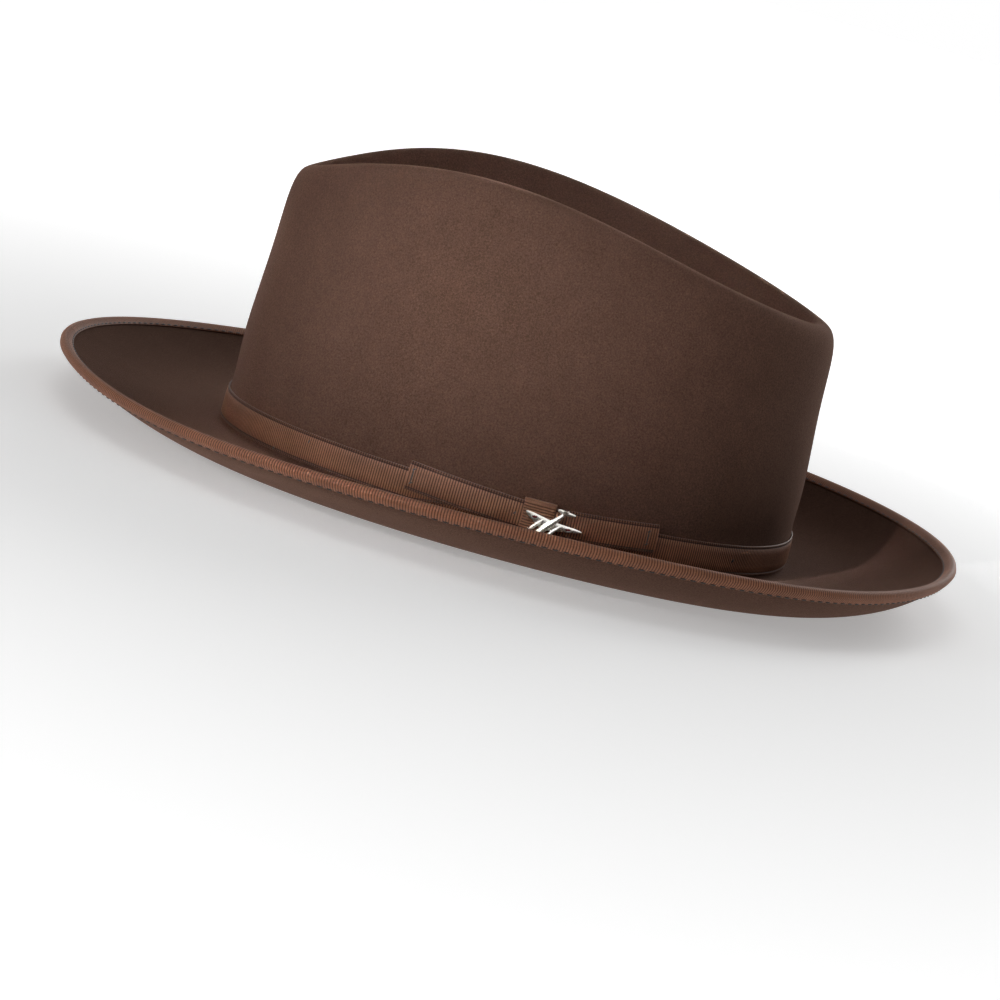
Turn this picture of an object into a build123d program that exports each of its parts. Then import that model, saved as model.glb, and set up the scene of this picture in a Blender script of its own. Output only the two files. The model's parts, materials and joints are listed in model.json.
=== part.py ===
from build123d import *
from functools import lru_cache
import math
import os

os.makedirs("parts", exist_ok=True)

# A fur-felt fedora. The wearer faces -Y, the wearer's left is +X and the crown rises along +Z.
# Millimetres. The origin is on the table that the brim rests on, under the middle of the brim.
# "Angle" runs round the hat: 0 is the front, 90 degrees the wearer's left, 180 the back.
# A list of five values is read front, front quarter, side, rear quarter, back.
# "Height" is measured up from the fold between crown and brim, and "depth" inwards from the
# outside of the felt.

# Felt
FELT = 2.0
OPENING_HALF_LENGTH = 104.0
OPENING_HALF_WIDTH = 87.5
OPENING_EGG = 0.06
OPENING_CENTRE_Y = 1.3
FOLD_HEIGHT = [1.8, 3.3, 4.5, 3.4, 2.4]

# Crown
RIDGE_HALF_WIDTH = [26.0, 46.0, 53.0, 66.0, 54.0]
RIDGE_HALF_LENGTH = 96.5
RIDGE_HEIGHT = [96.7, 108.1, 111.3, 96.5, 90.2]
WALL_BULGE = [2.0, 4.8, 5.5, 4.3, 1.6]
PINCH_DEPTH = 3.5
PINCH_ANGLE = math.radians(38)
PINCH_SPREAD = math.radians(16)
DENT_HALF_LENGTH = 62.0
DENT_FLOOR_FRONT = 81.0
DENT_FLOOR_MIDDLE = 85.5
DENT_FLOOR_BACK = 74.0

# Brim
BRIM_WIDTH = 63.0
BRIM_SLOPE_AT_FOLD = [4.0, -4.0, -7.0, -7.0, -3.0]
BRIM_SLOPE_AT_EDGE = [34.0, 40.5, 53.0, 55.5, 57.0]
BRIM_CURL = 1.8
BRIM_STEPS = 63
BRIM_STATIONS = (1, 4, 9, 17, 27, 37, 47, 56, 63)

# Ribbons, which lie on the felt with a hair of air under them, and thread, which touches them
RIBBON = 0.5
AIR = 0.15
TOUCH = 0.05
BAND_BOTTOM = 1.8
BAND_TOP = 12.4
BAND_START = math.radians(84)
BAND_OVERLAP = math.radians(6)
BINDING_WIDTH = 4.5
BINDING_STITCH = 3.9
BINDING_ROUNDING = 0.4
THREAD = 0.4

# Bow on the wearer's left: front loop, knot, rear loop
BOW_FRONT = math.radians(70.9)
BOW_REAR = math.radians(119.3)
LOOP_THICKNESS = 1.1
LOOP_DEPTH = 1.42
LOOP_TIP_DEPTH = 0.8
LOOP_TIP_SPREAD = math.radians(5)
LOOP_WIDTH = 9.8
LOOP_BOTTOM = 3.2
LOOP_LIFT_FRONT = 2.3
LOOP_LIFT_REAR = 2.7
LOOP_GAP = math.radians(1.0)
KNOT = math.radians(96.0)
KNOT_SPREAD = math.radians(2.9)
KNOT_BOTTOM = 1.8
KNOT_TOP = 13.9
KNOT_BACK = 0.8
KNOT_THICKNESS = 2.35
KNOT_RIBBON = 0.4

# Thread tacks as (angle in degrees, height)
BAND_TACKS = [(39, 2.8), (48, 9.5), (140, 7.0)]
BOW_TACKS = [(72.1, 12.8), (72.1, 8.2), (91.4, 8.4), (117.4, 13.2), (117.4, 8.6)]
TACK_LENGTH = 1.6

# Aeroplane pin, turned so that its nose points forwards and down
PIN_ANGLE = math.radians(98.0)
PIN_HEIGHT = 7.8
PIN_STANDOFF = 3.6
PIN_NOSE = Vector(1, 0, 0).rotate(Axis.Z, 228)
PIN_WING = Vector(1, 0, 0).rotate(Axis.Z, -8)
WING_HALF_SPAN = 10.0
WING_BACK = 0.5
WING_THICKNESS = 0.8
NOSE_REACH = 7.5
TAIL_REACH = 8.2
FUSELAGE_RADIUS = 1.15
ENGINE_RADIUS = 0.75
ENGINE_PLACE = 3.1
TAILPLANE_HALF_SPAN = 3.0
ENAMEL_PLACE = 6.6
ENAMEL_HALF_LENGTH = 1.1
ENAMEL_HALF_WIDTH = 0.7
ENAMEL_THICKNESS = 0.15
PRESS_FIT = 0.02
POST_RADIUS = 0.6
POST_CLEARANCE = 0.3
CLUTCH_RADIUS = 4.5
CLUTCH_THICKNESS = 2.0
CLUTCH_BOSS_RADIUS = 2.8
CLUTCH_BOSS_THICKNESS = 0.9
CLUTCH_AIR = 0.5

# Inside: reeded sweatband and lining
LEATHER = 0.9
SWEATBAND_DEPTH = 3.3
SWEATBAND_BOTTOM = -0.3
SWEATBAND_TOP = 38.0
STITCH_HEIGHT = 1.2
SWEATBAND_ROLL = [(-0.3, 1.65), (2.5, 1.65), (5.0, 1.0), (8.0, 0.3), (13.0, 0.0)]
CLUTCH_BULGE = 2.2
CLUTCH_BULGE_SPREAD = math.radians(6)
CLUTCH_BULGE_HEIGHTS = [(2.5, 0.0), (4.0, 1.0), (13.0, 1.0), (24.0, 0.0)]
REED_RADIUS = 0.6
REED_DEPTH = 3.45
REED_HEIGHT = 0.7
ROD_SIDES = 12
SLEEVE_RADIUS = 0.9
SLEEVE_AIR = 0.1
SLEEVE_SPREAD = math.radians(3.5)
TAPE = 0.3
TAPE_TOP = 2.6
SEAM_TAPE_SPREAD = math.radians(3)
SEAM_TAPE_HEIGHTS = (9.0, 22.0)
TAG_ANGLES = (math.radians(200), math.radians(211))
TAG_HEIGHTS = (9.0, 23.0)
SMALL_BOW_HEIGHT = 33.0
SMALL_BOW_SPREAD = math.radians(5.5)
SMALL_BOW_THICKNESS = 0.8
SMALL_KNOT_SPREAD = math.radians(1.1)
SMALL_KNOT_HALF_HEIGHT = 2.0
SMALL_KNOT_THICKNESS = 1.1
LINING = 0.3
LINING_AIR = 0.6
LINING_BOTTOM = 24.0
LINING_SEAM = 0.215
SEAM_GAP = 0.003

UP = Vector(0, 0, 1)
FULL_TURN = 2 * math.pi


def around(angle, values):
    """A smooth curve round the hat through values spaced evenly from front to back."""
    last = len(values) - 1
    total = 0.0
    for wave in range(last + 1):
        amount = 0.0
        for station, value in enumerate(values):
            share = 1.0 if 0 < station < last else 0.5
            amount += share * value * math.cos(math.pi * station * wave / last)
        share = 1.0 if 0 < wave < last else 0.5
        total += share * amount * math.cos(wave * angle) * 2.0 / last
    return total


def fold_oval(angle):
    """Plan point and outward direction of the fold between crown and brim."""
    sine, cosine = math.sin(angle), math.cos(angle)
    x = OPENING_HALF_WIDTH * sine * (1 - OPENING_EGG * cosine)
    y = OPENING_CENTRE_Y - OPENING_HALF_LENGTH * cosine
    run_x = OPENING_HALF_WIDTH * (cosine - OPENING_EGG * math.cos(2 * angle))
    run_y = OPENING_HALF_LENGTH * sine
    length = math.hypot(run_x, run_y)
    return Vector(x, y, 0), Vector(run_y / length, -run_x / length, 0)


def brim_run(angle):
    """Outward and upward travel from the fold to the brim's edge, in BRIM_STEPS equal steps."""
    first = math.radians(around(angle, BRIM_SLOPE_AT_FOLD))
    last = math.radians(around(angle, BRIM_SLOPE_AT_EDGE))
    step = BRIM_WIDTH / BRIM_STEPS
    travel = [(0.0, 0.0)]
    for index in range(BRIM_STEPS):
        slope = first + (last - first) * ((index + 0.5) / BRIM_STEPS) ** BRIM_CURL
        out, up = travel[-1]
        travel.append((out + step * math.cos(slope), up + step * math.sin(slope)))
    return travel


def dent_floor(angle):
    """Height of the dent's bottom line, which runs level into its two ends."""
    along = math.cos(angle)
    end = DENT_FLOOR_FRONT if along > 0 else DENT_FLOOR_BACK
    return DENT_FLOOR_MIDDLE + (end - DENT_FLOOR_MIDDLE) * along ** 2 * (3 - 2 * abs(along))


@lru_cache(maxsize=None)
def meridian(angle):
    """Control points of the felt's upper surface, from the dent's bottom line to the brim's edge."""
    fold, out = fold_oval(angle)
    sine, cosine = math.sin(angle), math.cos(angle)
    base = around(angle, FOLD_HEIGHT)
    height = around(angle, RIDGE_HEIGHT)
    ridge_y = OPENING_CENTRE_Y - RIDGE_HALF_LENGTH * cosine
    ridge = Vector(around(angle, RIDGE_HALF_WIDTH) * sine, ridge_y, 0)
    dent = Vector(0, OPENING_CENTRE_Y - DENT_HALF_LENGTH * cosine, 0)
    inward = (dent - ridge).normalized()
    floor = dent_floor(angle)
    bulge = around(angle, WALL_BULGE)
    side_angle = abs(math.remainder(angle, FULL_TURN))
    pinch = PINCH_DEPTH * math.exp(-(((side_angle - PINCH_ANGLE) / PINCH_SPREAD) ** 2))
    points = [
        dent + UP * floor,
        dent + (ridge - dent) * 0.35 + UP * floor,
        dent + (ridge - dent) * 0.75 + UP * (floor + 0.55 * (height - floor)),
        ridge + inward * 6.5 + UP * height,
        ridge + out * 1.0 + UP * (height + 0.5),
        ridge + out * (4.5 - 0.5 * pinch) + UP * (height - 8.0),
        ridge * 0.68 + fold * 0.32 + out * (bulge - pinch) + UP * (height * 0.68),
        ridge * 0.28 + fold * 0.72 + out * (bulge - 0.6 * pinch) + UP * (height * 0.36),
        fold - out * 1.0 + UP * (base + 18.0),
        fold + UP * (base + 9.0),
        fold + UP * (base + 4.0),
        fold + UP * (base + 1.0),
    ]
    travel = brim_run(angle)
    for station in BRIM_STATIONS:
        reach, rise = travel[station]
        points.append(fold + out * reach + UP * (base + rise))
    return points


def felt_point(angle, share):
    """Point on the felt's upper surface: share 0 is the dent's bottom line, 1 the brim's edge."""
    controls = meridian(angle)
    padded = [controls[0]] * 2 + controls + [controls[-1]] * 2
    place = min(max(share, 0.0), 1.0) * (len(controls) + 1)
    index = min(int(place), len(controls))
    part = place - index
    weights = (
        (1 - part) ** 3 / 6,
        (3 * part ** 3 - 6 * part ** 2 + 4) / 6,
        (-3 * part ** 3 + 3 * part ** 2 + 3 * part + 1) / 6,
        part ** 3 / 6,
    )
    total = Vector(0, 0, 0)
    for offset, weight in enumerate(weights):
        total += padded[index + offset] * weight
    return total


def felt_normal(angle, share):
    """Direction out of the felt's upper surface."""
    step = 0.002
    nearby = max(share, step)
    across = felt_point(angle + step, nearby) - felt_point(angle - step, nearby)
    along = felt_point(angle, share + step) - felt_point(angle, share - step)
    normal = along.cross(across)
    if share == 0.0 or abs(angle) in (0.0, math.pi):
        normal = Vector(0, normal.Y, normal.Z)
    return normal.normalized()


def felt_offset(angle, share, depth):
    """Point below the felt's upper surface by depth, or above it where depth is negative."""
    return felt_point(angle, share) - felt_normal(angle, share) * depth


@lru_cache(maxsize=None)
def share_at_height(angle, height):
    """Share at which the crown's wall stands this far above the fold."""
    target = around(angle, FOLD_HEIGHT) + height
    high, low = 0.27, 0.58
    for _ in range(22):
        middle = (high + low) / 2
        if felt_point(angle, middle).Z > target:
            high = middle
        else:
            low = middle
    return low


@lru_cache(maxsize=None)
def wall_lean(angle, height):
    """How far the crown's wall stands out from the fold, read above the fold's rounding."""
    fold, out = fold_oval(angle)
    point = felt_point(angle, share_at_height(angle, max(height, 2.4)))
    return (point - fold).dot(out)


def wall(angle, height, depth):
    """Point by the crown's wall, with depth measured level and inwards from the felt's outside."""
    fold, out = fold_oval(angle)
    lean = wall_lean(angle, height)
    return fold + out * (lean - depth) + UP * (around(angle, FOLD_HEIGHT) + height)


def angles_between(first, last, count):
    return [first + (last - first) * index / count for index in range(count + 1)]


def loop_wire(points):
    return Wire.make_polygon(points, close=True)


def strip(first, last, count, outline):
    """Solid that follows the hat from one angle to another; outline(angle) gives its section."""
    sections = [loop_wire(outline(angle)) for angle in angles_between(first, last, count)]
    return Solid.make_loft(sections)


def join_halves(left, right):
    """One solid from two halves that meet on the plane X = 0, without their faces on it."""
    skin = [face for half in (left, right) for face in half.faces() if abs(face.center().X) > 0.01]
    return Solid(Shell(skin))


def ring(count, outline):
    """Strip once round the hat, made in two halves that meet at the front and the back."""
    left = strip(0.0, math.pi, count, outline)
    right = strip(0.0, -math.pi, count, outline)
    return join_halves(left, right)


def ribbon_outline(angle, bottom, top, depth, thickness):
    """Section of a ribbon that lies along the crown's wall."""
    heights = [bottom + (top - bottom) * index / 4 for index in range(5)]
    inner = [wall(angle, height, depth) for height in heights]
    outer = [wall(angle, height, depth - thickness) for height in heights]
    return inner + outer[::-1]


def wall_strip(first, last, count, bottom, top, depth, thickness):
    """Ribbon or tape of even thickness round the crown's wall."""
    def outline(angle):
        return ribbon_outline(angle, bottom, top, depth, thickness)
    return strip(first, last, count, outline)


def shell(first_share, last_share, top_depth, thickness, sections, points):
    """Skin parallel to the felt's upper surface, built as one half and its mirror image."""
    wires = []
    marks = [index / points for index in range(points + 1)]
    for angle in angles_between(0.0, math.pi, sections):
        start, end = first_share(angle), last_share(angle)
        shares = [start + (end - start) * mark for mark in marks]
        upper = [felt_offset(angle, share, top_depth) for share in shares]
        lower = [felt_offset(angle, share, top_depth + thickness) for share in shares]
        edges = [
            Edge.make_spline(upper, parameters=marks),
            Edge.make_line(upper[-1], lower[-1]),
            Edge.make_spline(lower, parameters=marks),
            Edge.make_line(lower[0], upper[0]),
        ]
        wires.append(Wire(edges))
    half = Solid.make_loft(wires)
    return join_halves(half, half.mirror(Plane.YZ))


def write(node, shape):
    shape.label = node
    export_step(shape, f"parts/{node}.step")


def pin_frame():
    """Plane of the pin: X runs back along the crown, Y up and Z out of the hat."""
    _, out = fold_oval(PIN_ANGLE)
    centre = wall(PIN_ANGLE, PIN_HEIGHT, 0.0)
    return Plane(origin=centre, x_dir=UP.cross(out), z_dir=out)


def post_hole(radius, start_depth, end_depth):
    """Cylinder on the pin's axis between two depths."""
    plane = pin_frame().offset(-end_depth)
    return Solid.make_cylinder(radius, end_depth - start_depth, plane)


def pin_hole():
    """Hole that the post turns in."""
    return post_hole(POST_RADIUS + POST_CLEARANCE, -PIN_STANDOFF - 2.0, FELT + 3.0)


def make_felt_body():
    felt = shell(lambda angle: 0.0, lambda angle: 1.0, 0.0, FELT, 36, 84)
    return felt.cut(pin_hole())


@lru_cache(maxsize=None)
def share_from_edge(angle, distance):
    """Share at which the brim's surface is this far in from its edge."""
    edge = felt_point(angle, 1.0)
    near, far = 1.0, 0.8
    for _ in range(20):
        middle = (near + far) / 2
        if (felt_point(angle, middle) - edge).length < distance:
            near = middle
        else:
            far = middle
    return near


def make_brim_binding():
    """Ribbon folded over the brim's edge, the same width above and below."""
    outside = AIR + RIBBON

    def outline(angle):
        inner = share_from_edge(angle, BINDING_WIDTH)
        tip = (felt_point(angle, 1.0) - felt_point(angle, share_from_edge(angle, 1.0))).normalized()
        return [
            felt_offset(angle, inner, -outside),
            felt_offset(angle, 1.0, -outside) + tip * AIR,
            felt_offset(angle, 1.0, FELT / 2) + tip * (outside + BINDING_ROUNDING),
            felt_offset(angle, 1.0, FELT + outside) + tip * AIR,
            felt_offset(angle, inner, FELT + outside),
            felt_offset(angle, inner, FELT + AIR),
            felt_offset(angle, 1.0, FELT + AIR) + tip * AIR,
            felt_offset(angle, 1.0, -AIR) + tip * AIR,
            felt_offset(angle, inner, -AIR),
        ]
    return ring(48, outline)


def make_binding_thread(depth):
    """Line of stitching along the binding, from depth outwards by half a thread."""
    def outline(angle):
        outer = share_from_edge(angle, BINDING_STITCH - THREAD / 2)
        inner = share_from_edge(angle, BINDING_STITCH + THREAD / 2)
        return [
            felt_offset(angle, inner, depth),
            felt_offset(angle, outer, depth),
            felt_offset(angle, outer, depth - THREAD / 2),
            felt_offset(angle, inner, depth - THREAD / 2),
        ]
    return ring(48, outline)


def make_hat_band():
    """Ribbon once round the crown; its front end lies over its start, under the bow."""
    end = BAND_START + FULL_TURN + BAND_OVERLAP
    ramp_start = end - 2 * BAND_OVERLAP

    def outline(angle):
        climb = min(max((angle - ramp_start) / BAND_OVERLAP, 0.0), 1.0)
        depth = -AIR - climb * (RIBBON + AIR)
        return ribbon_outline(angle, BAND_BOTTOM, BAND_TOP, depth, RIBBON)
    return strip(BAND_START, end, 100, outline).cut(pin_hole())


def make_bow_loop(tip_angle, lift):
    """Flattened loop of ribbon from beside the post to its tip, rising towards the tip."""
    inner = PIN_ANGLE + math.copysign(LOOP_GAP, tip_angle - PIN_ANGLE)

    def outline(angle):
        reach = (angle - inner) / (tip_angle - inner)
        from_tip = min(abs(angle - tip_angle) / LOOP_TIP_SPREAD, 1.0)
        depth = -LOOP_TIP_DEPTH - from_tip * (LOOP_DEPTH - LOOP_TIP_DEPTH)
        bottom = LOOP_BOTTOM + lift * reach
        return ribbon_outline(angle, bottom, bottom + LOOP_WIDTH, depth, LOOP_THICKNESS)
    return strip(inner, tip_angle, 14, outline)


def make_bow_knot():
    """Ribbon wound once round the middle of the bow."""
    def block(inset):
        def outline(angle):
            bottom, top = KNOT_BOTTOM + inset, KNOT_TOP - inset
            return ribbon_outline(angle, bottom, top, -KNOT_BACK - inset, KNOT_THICKNESS - 2 * inset)
        spread = KNOT_SPREAD * (1.0 if inset == 0.0 else 1.1)
        return strip(KNOT - spread, KNOT + spread, 4, outline)
    return block(0.0).cut(block(KNOT_RIBBON)).cut(pin_hole())


def make_tacks(places, depth):
    """Short thread stitches lying on the ribbon, one solid each."""
    tacks = []
    for degrees, height in places:
        angle = math.radians(degrees)
        _, out = fold_oval(angle)
        plane = Plane(origin=wall(angle, height, -depth), x_dir=UP.cross(out), z_dir=out)
        tacks.append(plane.from_local_coords(Solid.make_box(THREAD, TACK_LENGTH, THREAD)))
    return Compound(children=tacks)


def pin_outline(steps):
    """Closed wire in the pin's plane from points given as (towards nose, along wing)."""
    points = [PIN_NOSE * ahead + PIN_WING * aside for ahead, aside in steps]
    return Wire.make_polygon(points, close=True)


def pin_plate(steps, bottom, thickness, rounding):
    """Flat piece of the aeroplane with rounded corners."""
    wire = pin_outline(steps)
    face = Face(wire.fillet_2d(rounding, wire.vertices()))
    return Solid.extrude(face, UP * thickness).moved(Location((0, 0, bottom)))


def pin_spindle(start, end, aside, radius, height, fullest):
    """Round body along the fuselage direction, fullest part of the way from its nose."""
    length = start - end
    points = [
        Vector(0, 0, 0),
        Vector(radius * 0.72, 0, length * 0.06),
        Vector(radius, 0, length * fullest),
        Vector(radius * 0.62, 0, length * 0.8),
        Vector(0, 0, length),
    ]
    profile = Wire([Edge.make_spline(points), Edge.make_line(points[-1], points[0])])
    body = Solid.revolve(Face(profile), 360, Axis.Z)
    tip = PIN_NOSE * start + PIN_WING * aside + UP * height
    return Plane(origin=tip, x_dir=UP, z_dir=-PIN_NOSE).from_local_coords(body)


def make_pin_plane():
    """Twin-engined aeroplane cast in one piece, seen slightly from the side."""
    wings = pin_plate(
        [
            (2.2, 0.0), (1.0, WING_HALF_SPAN - 1.0), (-0.4, WING_HALF_SPAN),
            (-1.2, WING_HALF_SPAN - 0.6), (-2.0, 0.0), (-1.2, 0.6 - WING_HALF_SPAN),
            (-0.4, -WING_HALF_SPAN), (1.0, 1.0 - WING_HALF_SPAN),
        ],
        WING_BACK, WING_THICKNESS, 0.35,
    )
    tail = 0.6 - TAIL_REACH
    tailplane = pin_plate(
        [
            (tail + 1.6, 0.0), (tail + 0.9, TAILPLANE_HALF_SPAN), (tail - 0.1, TAILPLANE_HALF_SPAN),
            (tail, 0.0), (tail - 0.1, -TAILPLANE_HALF_SPAN), (tail + 0.9, -TAILPLANE_HALF_SPAN),
        ],
        WING_BACK + 0.1, WING_THICKNESS - 0.2, 0.2,
    )
    fin = pin_plate(
        [(tail + 2.0, 0.2), (tail - 0.9, -1.6), (tail - 1.1, -0.6), (tail + 0.2, 0.5)],
        1.2, 0.8, 0.15,
    )
    fuselage = pin_spindle(NOSE_REACH, -TAIL_REACH, 0.0, FUSELAGE_RADIUS, FUSELAGE_RADIUS, 0.35)
    engines = [
        pin_spindle(4.1, -1.4, side * ENGINE_PLACE, ENGINE_RADIUS, WING_BACK + 0.55, 0.3)
        for side in (-1, 1)
    ]
    pad = Solid.make_cylinder(1.7, WING_BACK + 0.2)
    plane = wings.fuse(tailplane, fin, fuselage, pad, *engines)
    return at_pin(plane)


def at_pin(shape):
    """Put a shape made round the pin's own origin where the pin's back lies."""
    return pin_frame().offset(PIN_STANDOFF).from_local_coords(shape)


def make_pin_enamel():
    """Small plain enamel ovals that lie on top of the wings."""
    top = UP * (WING_BACK + WING_THICKNESS + PRESS_FIT)
    ovals = []
    for side in (-1, 1):
        plane = Plane(origin=PIN_WING * (side * ENAMEL_PLACE) + top, x_dir=PIN_WING, z_dir=UP)
        rim = Wire.make_ellipse(ENAMEL_HALF_LENGTH, ENAMEL_HALF_WIDTH, plane)
        ovals.append(at_pin(Solid.extrude(Face(rim), UP * ENAMEL_THICKNESS)))
    return Compound(children=ovals)


def make_pin_post():
    """Post from the pin's back through knot, band and felt to just past the clutch."""
    end = FELT + CLUTCH_AIR + CLUTCH_THICKNESS
    return post_hole(POST_RADIUS, -PIN_STANDOFF + PRESS_FIT, end)


def make_pin_clutch():
    """Disc with a narrower boss towards the felt, pressed on to the post."""
    start = FELT + CLUTCH_AIR
    end = start + CLUTCH_THICKNESS
    disc_start = start + CLUTCH_BOSS_THICKNESS
    disc = post_hole(CLUTCH_RADIUS, disc_start, end)
    boss = post_hole(CLUTCH_BOSS_RADIUS, start, disc_start)
    return disc.fuse(boss).cut(post_hole(POST_RADIUS + PRESS_FIT, start - 1, end + 1))


def between(height, table):
    """Straight-line reading of a table of (height, value)."""
    for (low, first), (high, last) in zip(table, table[1:]):
        if height <= high:
            part = min(max((height - low) / (high - low), 0.0), 1.0)
            return first + (last - first) * part
    return table[-1][1]


def sweatband_depth(angle, height):
    """Depth of the leather's outer side: a roll over the reed, and room for the pin's clutch."""
    roll = between(height, SWEATBAND_ROLL)
    away = math.remainder(angle - PIN_ANGLE, FULL_TURN) / CLUTCH_BULGE_SPREAD
    bulge = CLUTCH_BULGE * math.exp(-(away ** 2)) * between(height, CLUTCH_BULGE_HEIGHTS)
    return SWEATBAND_DEPTH + math.hypot(roll, bulge)


def make_sweatband():
    heights = [SWEATBAND_BOTTOM, 2.5, 4.0, 5.0, 8.0, 13.0, 18.5, 24.0, 31.0, SWEATBAND_TOP]

    def outline(angle):
        outer = [wall(angle, h, sweatband_depth(angle, h)) for h in heights]
        inner = [wall(angle, h, sweatband_depth(angle, h) + LEATHER) for h in heights]
        return outer + inner[::-1]
    return ring(60, outline)


def rod_outline(radius):
    """Section of a rod along the bottom of the sweatband, drawn with ROD_SIDES flats."""
    turns = [FULL_TURN * index / ROD_SIDES for index in range(ROD_SIDES)]

    def outline(angle):
        return [
            wall(angle, REED_HEIGHT + radius * math.sin(turn), REED_DEPTH + radius * math.cos(turn))
            for turn in turns
        ]
    return outline


def make_sweatband_reed():
    return ring(48, rod_outline(REED_RADIUS))


def make_reed_sleeve():
    """Short tube that joins the reed's two ends at the back."""
    first, last = math.pi - SLEEVE_SPREAD, math.pi + SLEEVE_SPREAD
    tube = strip(first, last, 8, rod_outline(SLEEVE_RADIUS))
    overshoot = SLEEVE_SPREAD / 4
    return tube.cut(strip(first - overshoot, last + overshoot, 10, rod_outline(REED_RADIUS + SLEEVE_AIR)))


def make_reed_tape():
    """Thin tape folded under the reed, sewn to the felt outside it and to the leather inside."""
    room = SLEEVE_RADIUS + AIR
    near, far = REED_DEPTH - room, REED_DEPTH + room
    floor = REED_HEIGHT - room

    def outline(angle):
        return [
            wall(angle, TAPE_TOP, near - TAPE),
            wall(angle, floor - TAPE, near - TAPE),
            wall(angle, floor - TAPE, far + TAPE),
            wall(angle, REED_HEIGHT + room, far + TAPE),
            wall(angle, REED_HEIGHT + room, far),
            wall(angle, floor, far),
            wall(angle, floor, near),
            wall(angle, TAPE_TOP, near),
        ]
    return ring(36, outline)


def make_sweatband_thread():
    """Stitching that holds the leather to the reed tape."""
    def outline(angle):
        outer = sweatband_depth(angle, STITCH_HEIGHT) + LEATHER + TOUCH
        inner = outer + THREAD / 2
        return [
            wall(angle, STITCH_HEIGHT - THREAD / 2, inner),
            wall(angle, STITCH_HEIGHT + THREAD / 2, inner),
            wall(angle, STITCH_HEIGHT + THREAD / 2, outer),
            wall(angle, STITCH_HEIGHT - THREAD / 2, outer),
        ]
    return ring(48, outline)


def make_sweatband_seam_tape():
    """Tape behind the butt joint of the leather at the back."""
    first, last = math.pi - SEAM_TAPE_SPREAD, math.pi + SEAM_TAPE_SPREAD
    return wall_strip(first, last, 8, *SEAM_TAPE_HEIGHTS, SWEATBAND_DEPTH - AIR, TAPE)


def make_size_tag():
    """Blank paper tag tucked behind the leather at the rear right."""
    return wall_strip(*TAG_ANGLES, 8, *TAG_HEIGHTS, SWEATBAND_DEPTH - AIR, TAPE)


def make_sweatband_bow():
    """Small flat bow over the leather's joint."""
    depth = SWEATBAND_DEPTH + LEATHER + 2 * TOUCH
    knot_depth = depth + SMALL_BOW_THICKNESS + 0.4

    def outline(angle):
        flare = 1.2 + 2.4 * abs(angle - math.pi) / SMALL_BOW_SPREAD
        low, high = SMALL_BOW_HEIGHT - flare, SMALL_BOW_HEIGHT + flare
        return [
            wall(angle, low, depth + SMALL_BOW_THICKNESS),
            wall(angle, high, depth + SMALL_BOW_THICKNESS),
            wall(angle, high, depth),
            wall(angle, low, depth),
        ]
    left = strip(math.pi - SMALL_BOW_SPREAD, math.pi, 6, outline)
    right = strip(math.pi, math.pi + SMALL_BOW_SPREAD, 6, outline)
    knot = wall_strip(
        math.pi - SMALL_KNOT_SPREAD, math.pi + SMALL_KNOT_SPREAD, 4,
        SMALL_BOW_HEIGHT - SMALL_KNOT_HALF_HEIGHT, SMALL_BOW_HEIGHT + SMALL_KNOT_HALF_HEIGHT,
        knot_depth, SMALL_KNOT_THICKNESS,
    )
    return left.fuse(right, knot)


def make_lining(first_share, last_share, points):
    return shell(first_share, last_share, FELT + LINING_AIR, LINING, 36, points)


def make_lining_side():
    def bottom(angle):
        return share_at_height(angle, LINING_BOTTOM)
    return make_lining(lambda angle: LINING_SEAM + SEAM_GAP, bottom, 60)


def make_lining_tip():
    return make_lining(lambda angle: 0.0, lambda angle: LINING_SEAM - SEAM_GAP, 36)


write("felt_body", make_felt_body())
write("brim_binding", make_brim_binding())
write("binding_thread_top", make_binding_thread(-AIR - RIBBON - TOUCH))
write("binding_thread_under", make_binding_thread(FELT + AIR + RIBBON + TOUCH + THREAD / 2))
write("hat_band", make_hat_band())
write("band_tacks", make_tacks(BAND_TACKS, AIR + RIBBON + TOUCH))
write("bow_front_loop", make_bow_loop(BOW_FRONT, LOOP_LIFT_FRONT))
write("bow_rear_loop", make_bow_loop(BOW_REAR, LOOP_LIFT_REAR))
write("bow_knot", make_bow_knot())
write("bow_tacks", make_tacks(BOW_TACKS, LOOP_DEPTH + LOOP_THICKNESS + TOUCH))
write("pin_plane", make_pin_plane())
write("pin_enamel", make_pin_enamel())
write("pin_post", make_pin_post())
write("pin_clutch", make_pin_clutch())
write("sweatband", make_sweatband())
write("sweatband_thread", make_sweatband_thread())
write("sweatband_reed", make_sweatband_reed())
write("reed_sleeve", make_reed_sleeve())
write("reed_tape", make_reed_tape())
write("sweatband_seam_tape", make_sweatband_seam_tape())
write("sweatband_bow", make_sweatband_bow())
write("size_tag", make_size_tag())
write("lining_side", make_lining_side())
write("lining_tip", make_lining_tip())
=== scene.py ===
import json
import math

import bmesh
import bpy
import numpy as np
from mathutils import Matrix, Vector


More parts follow.
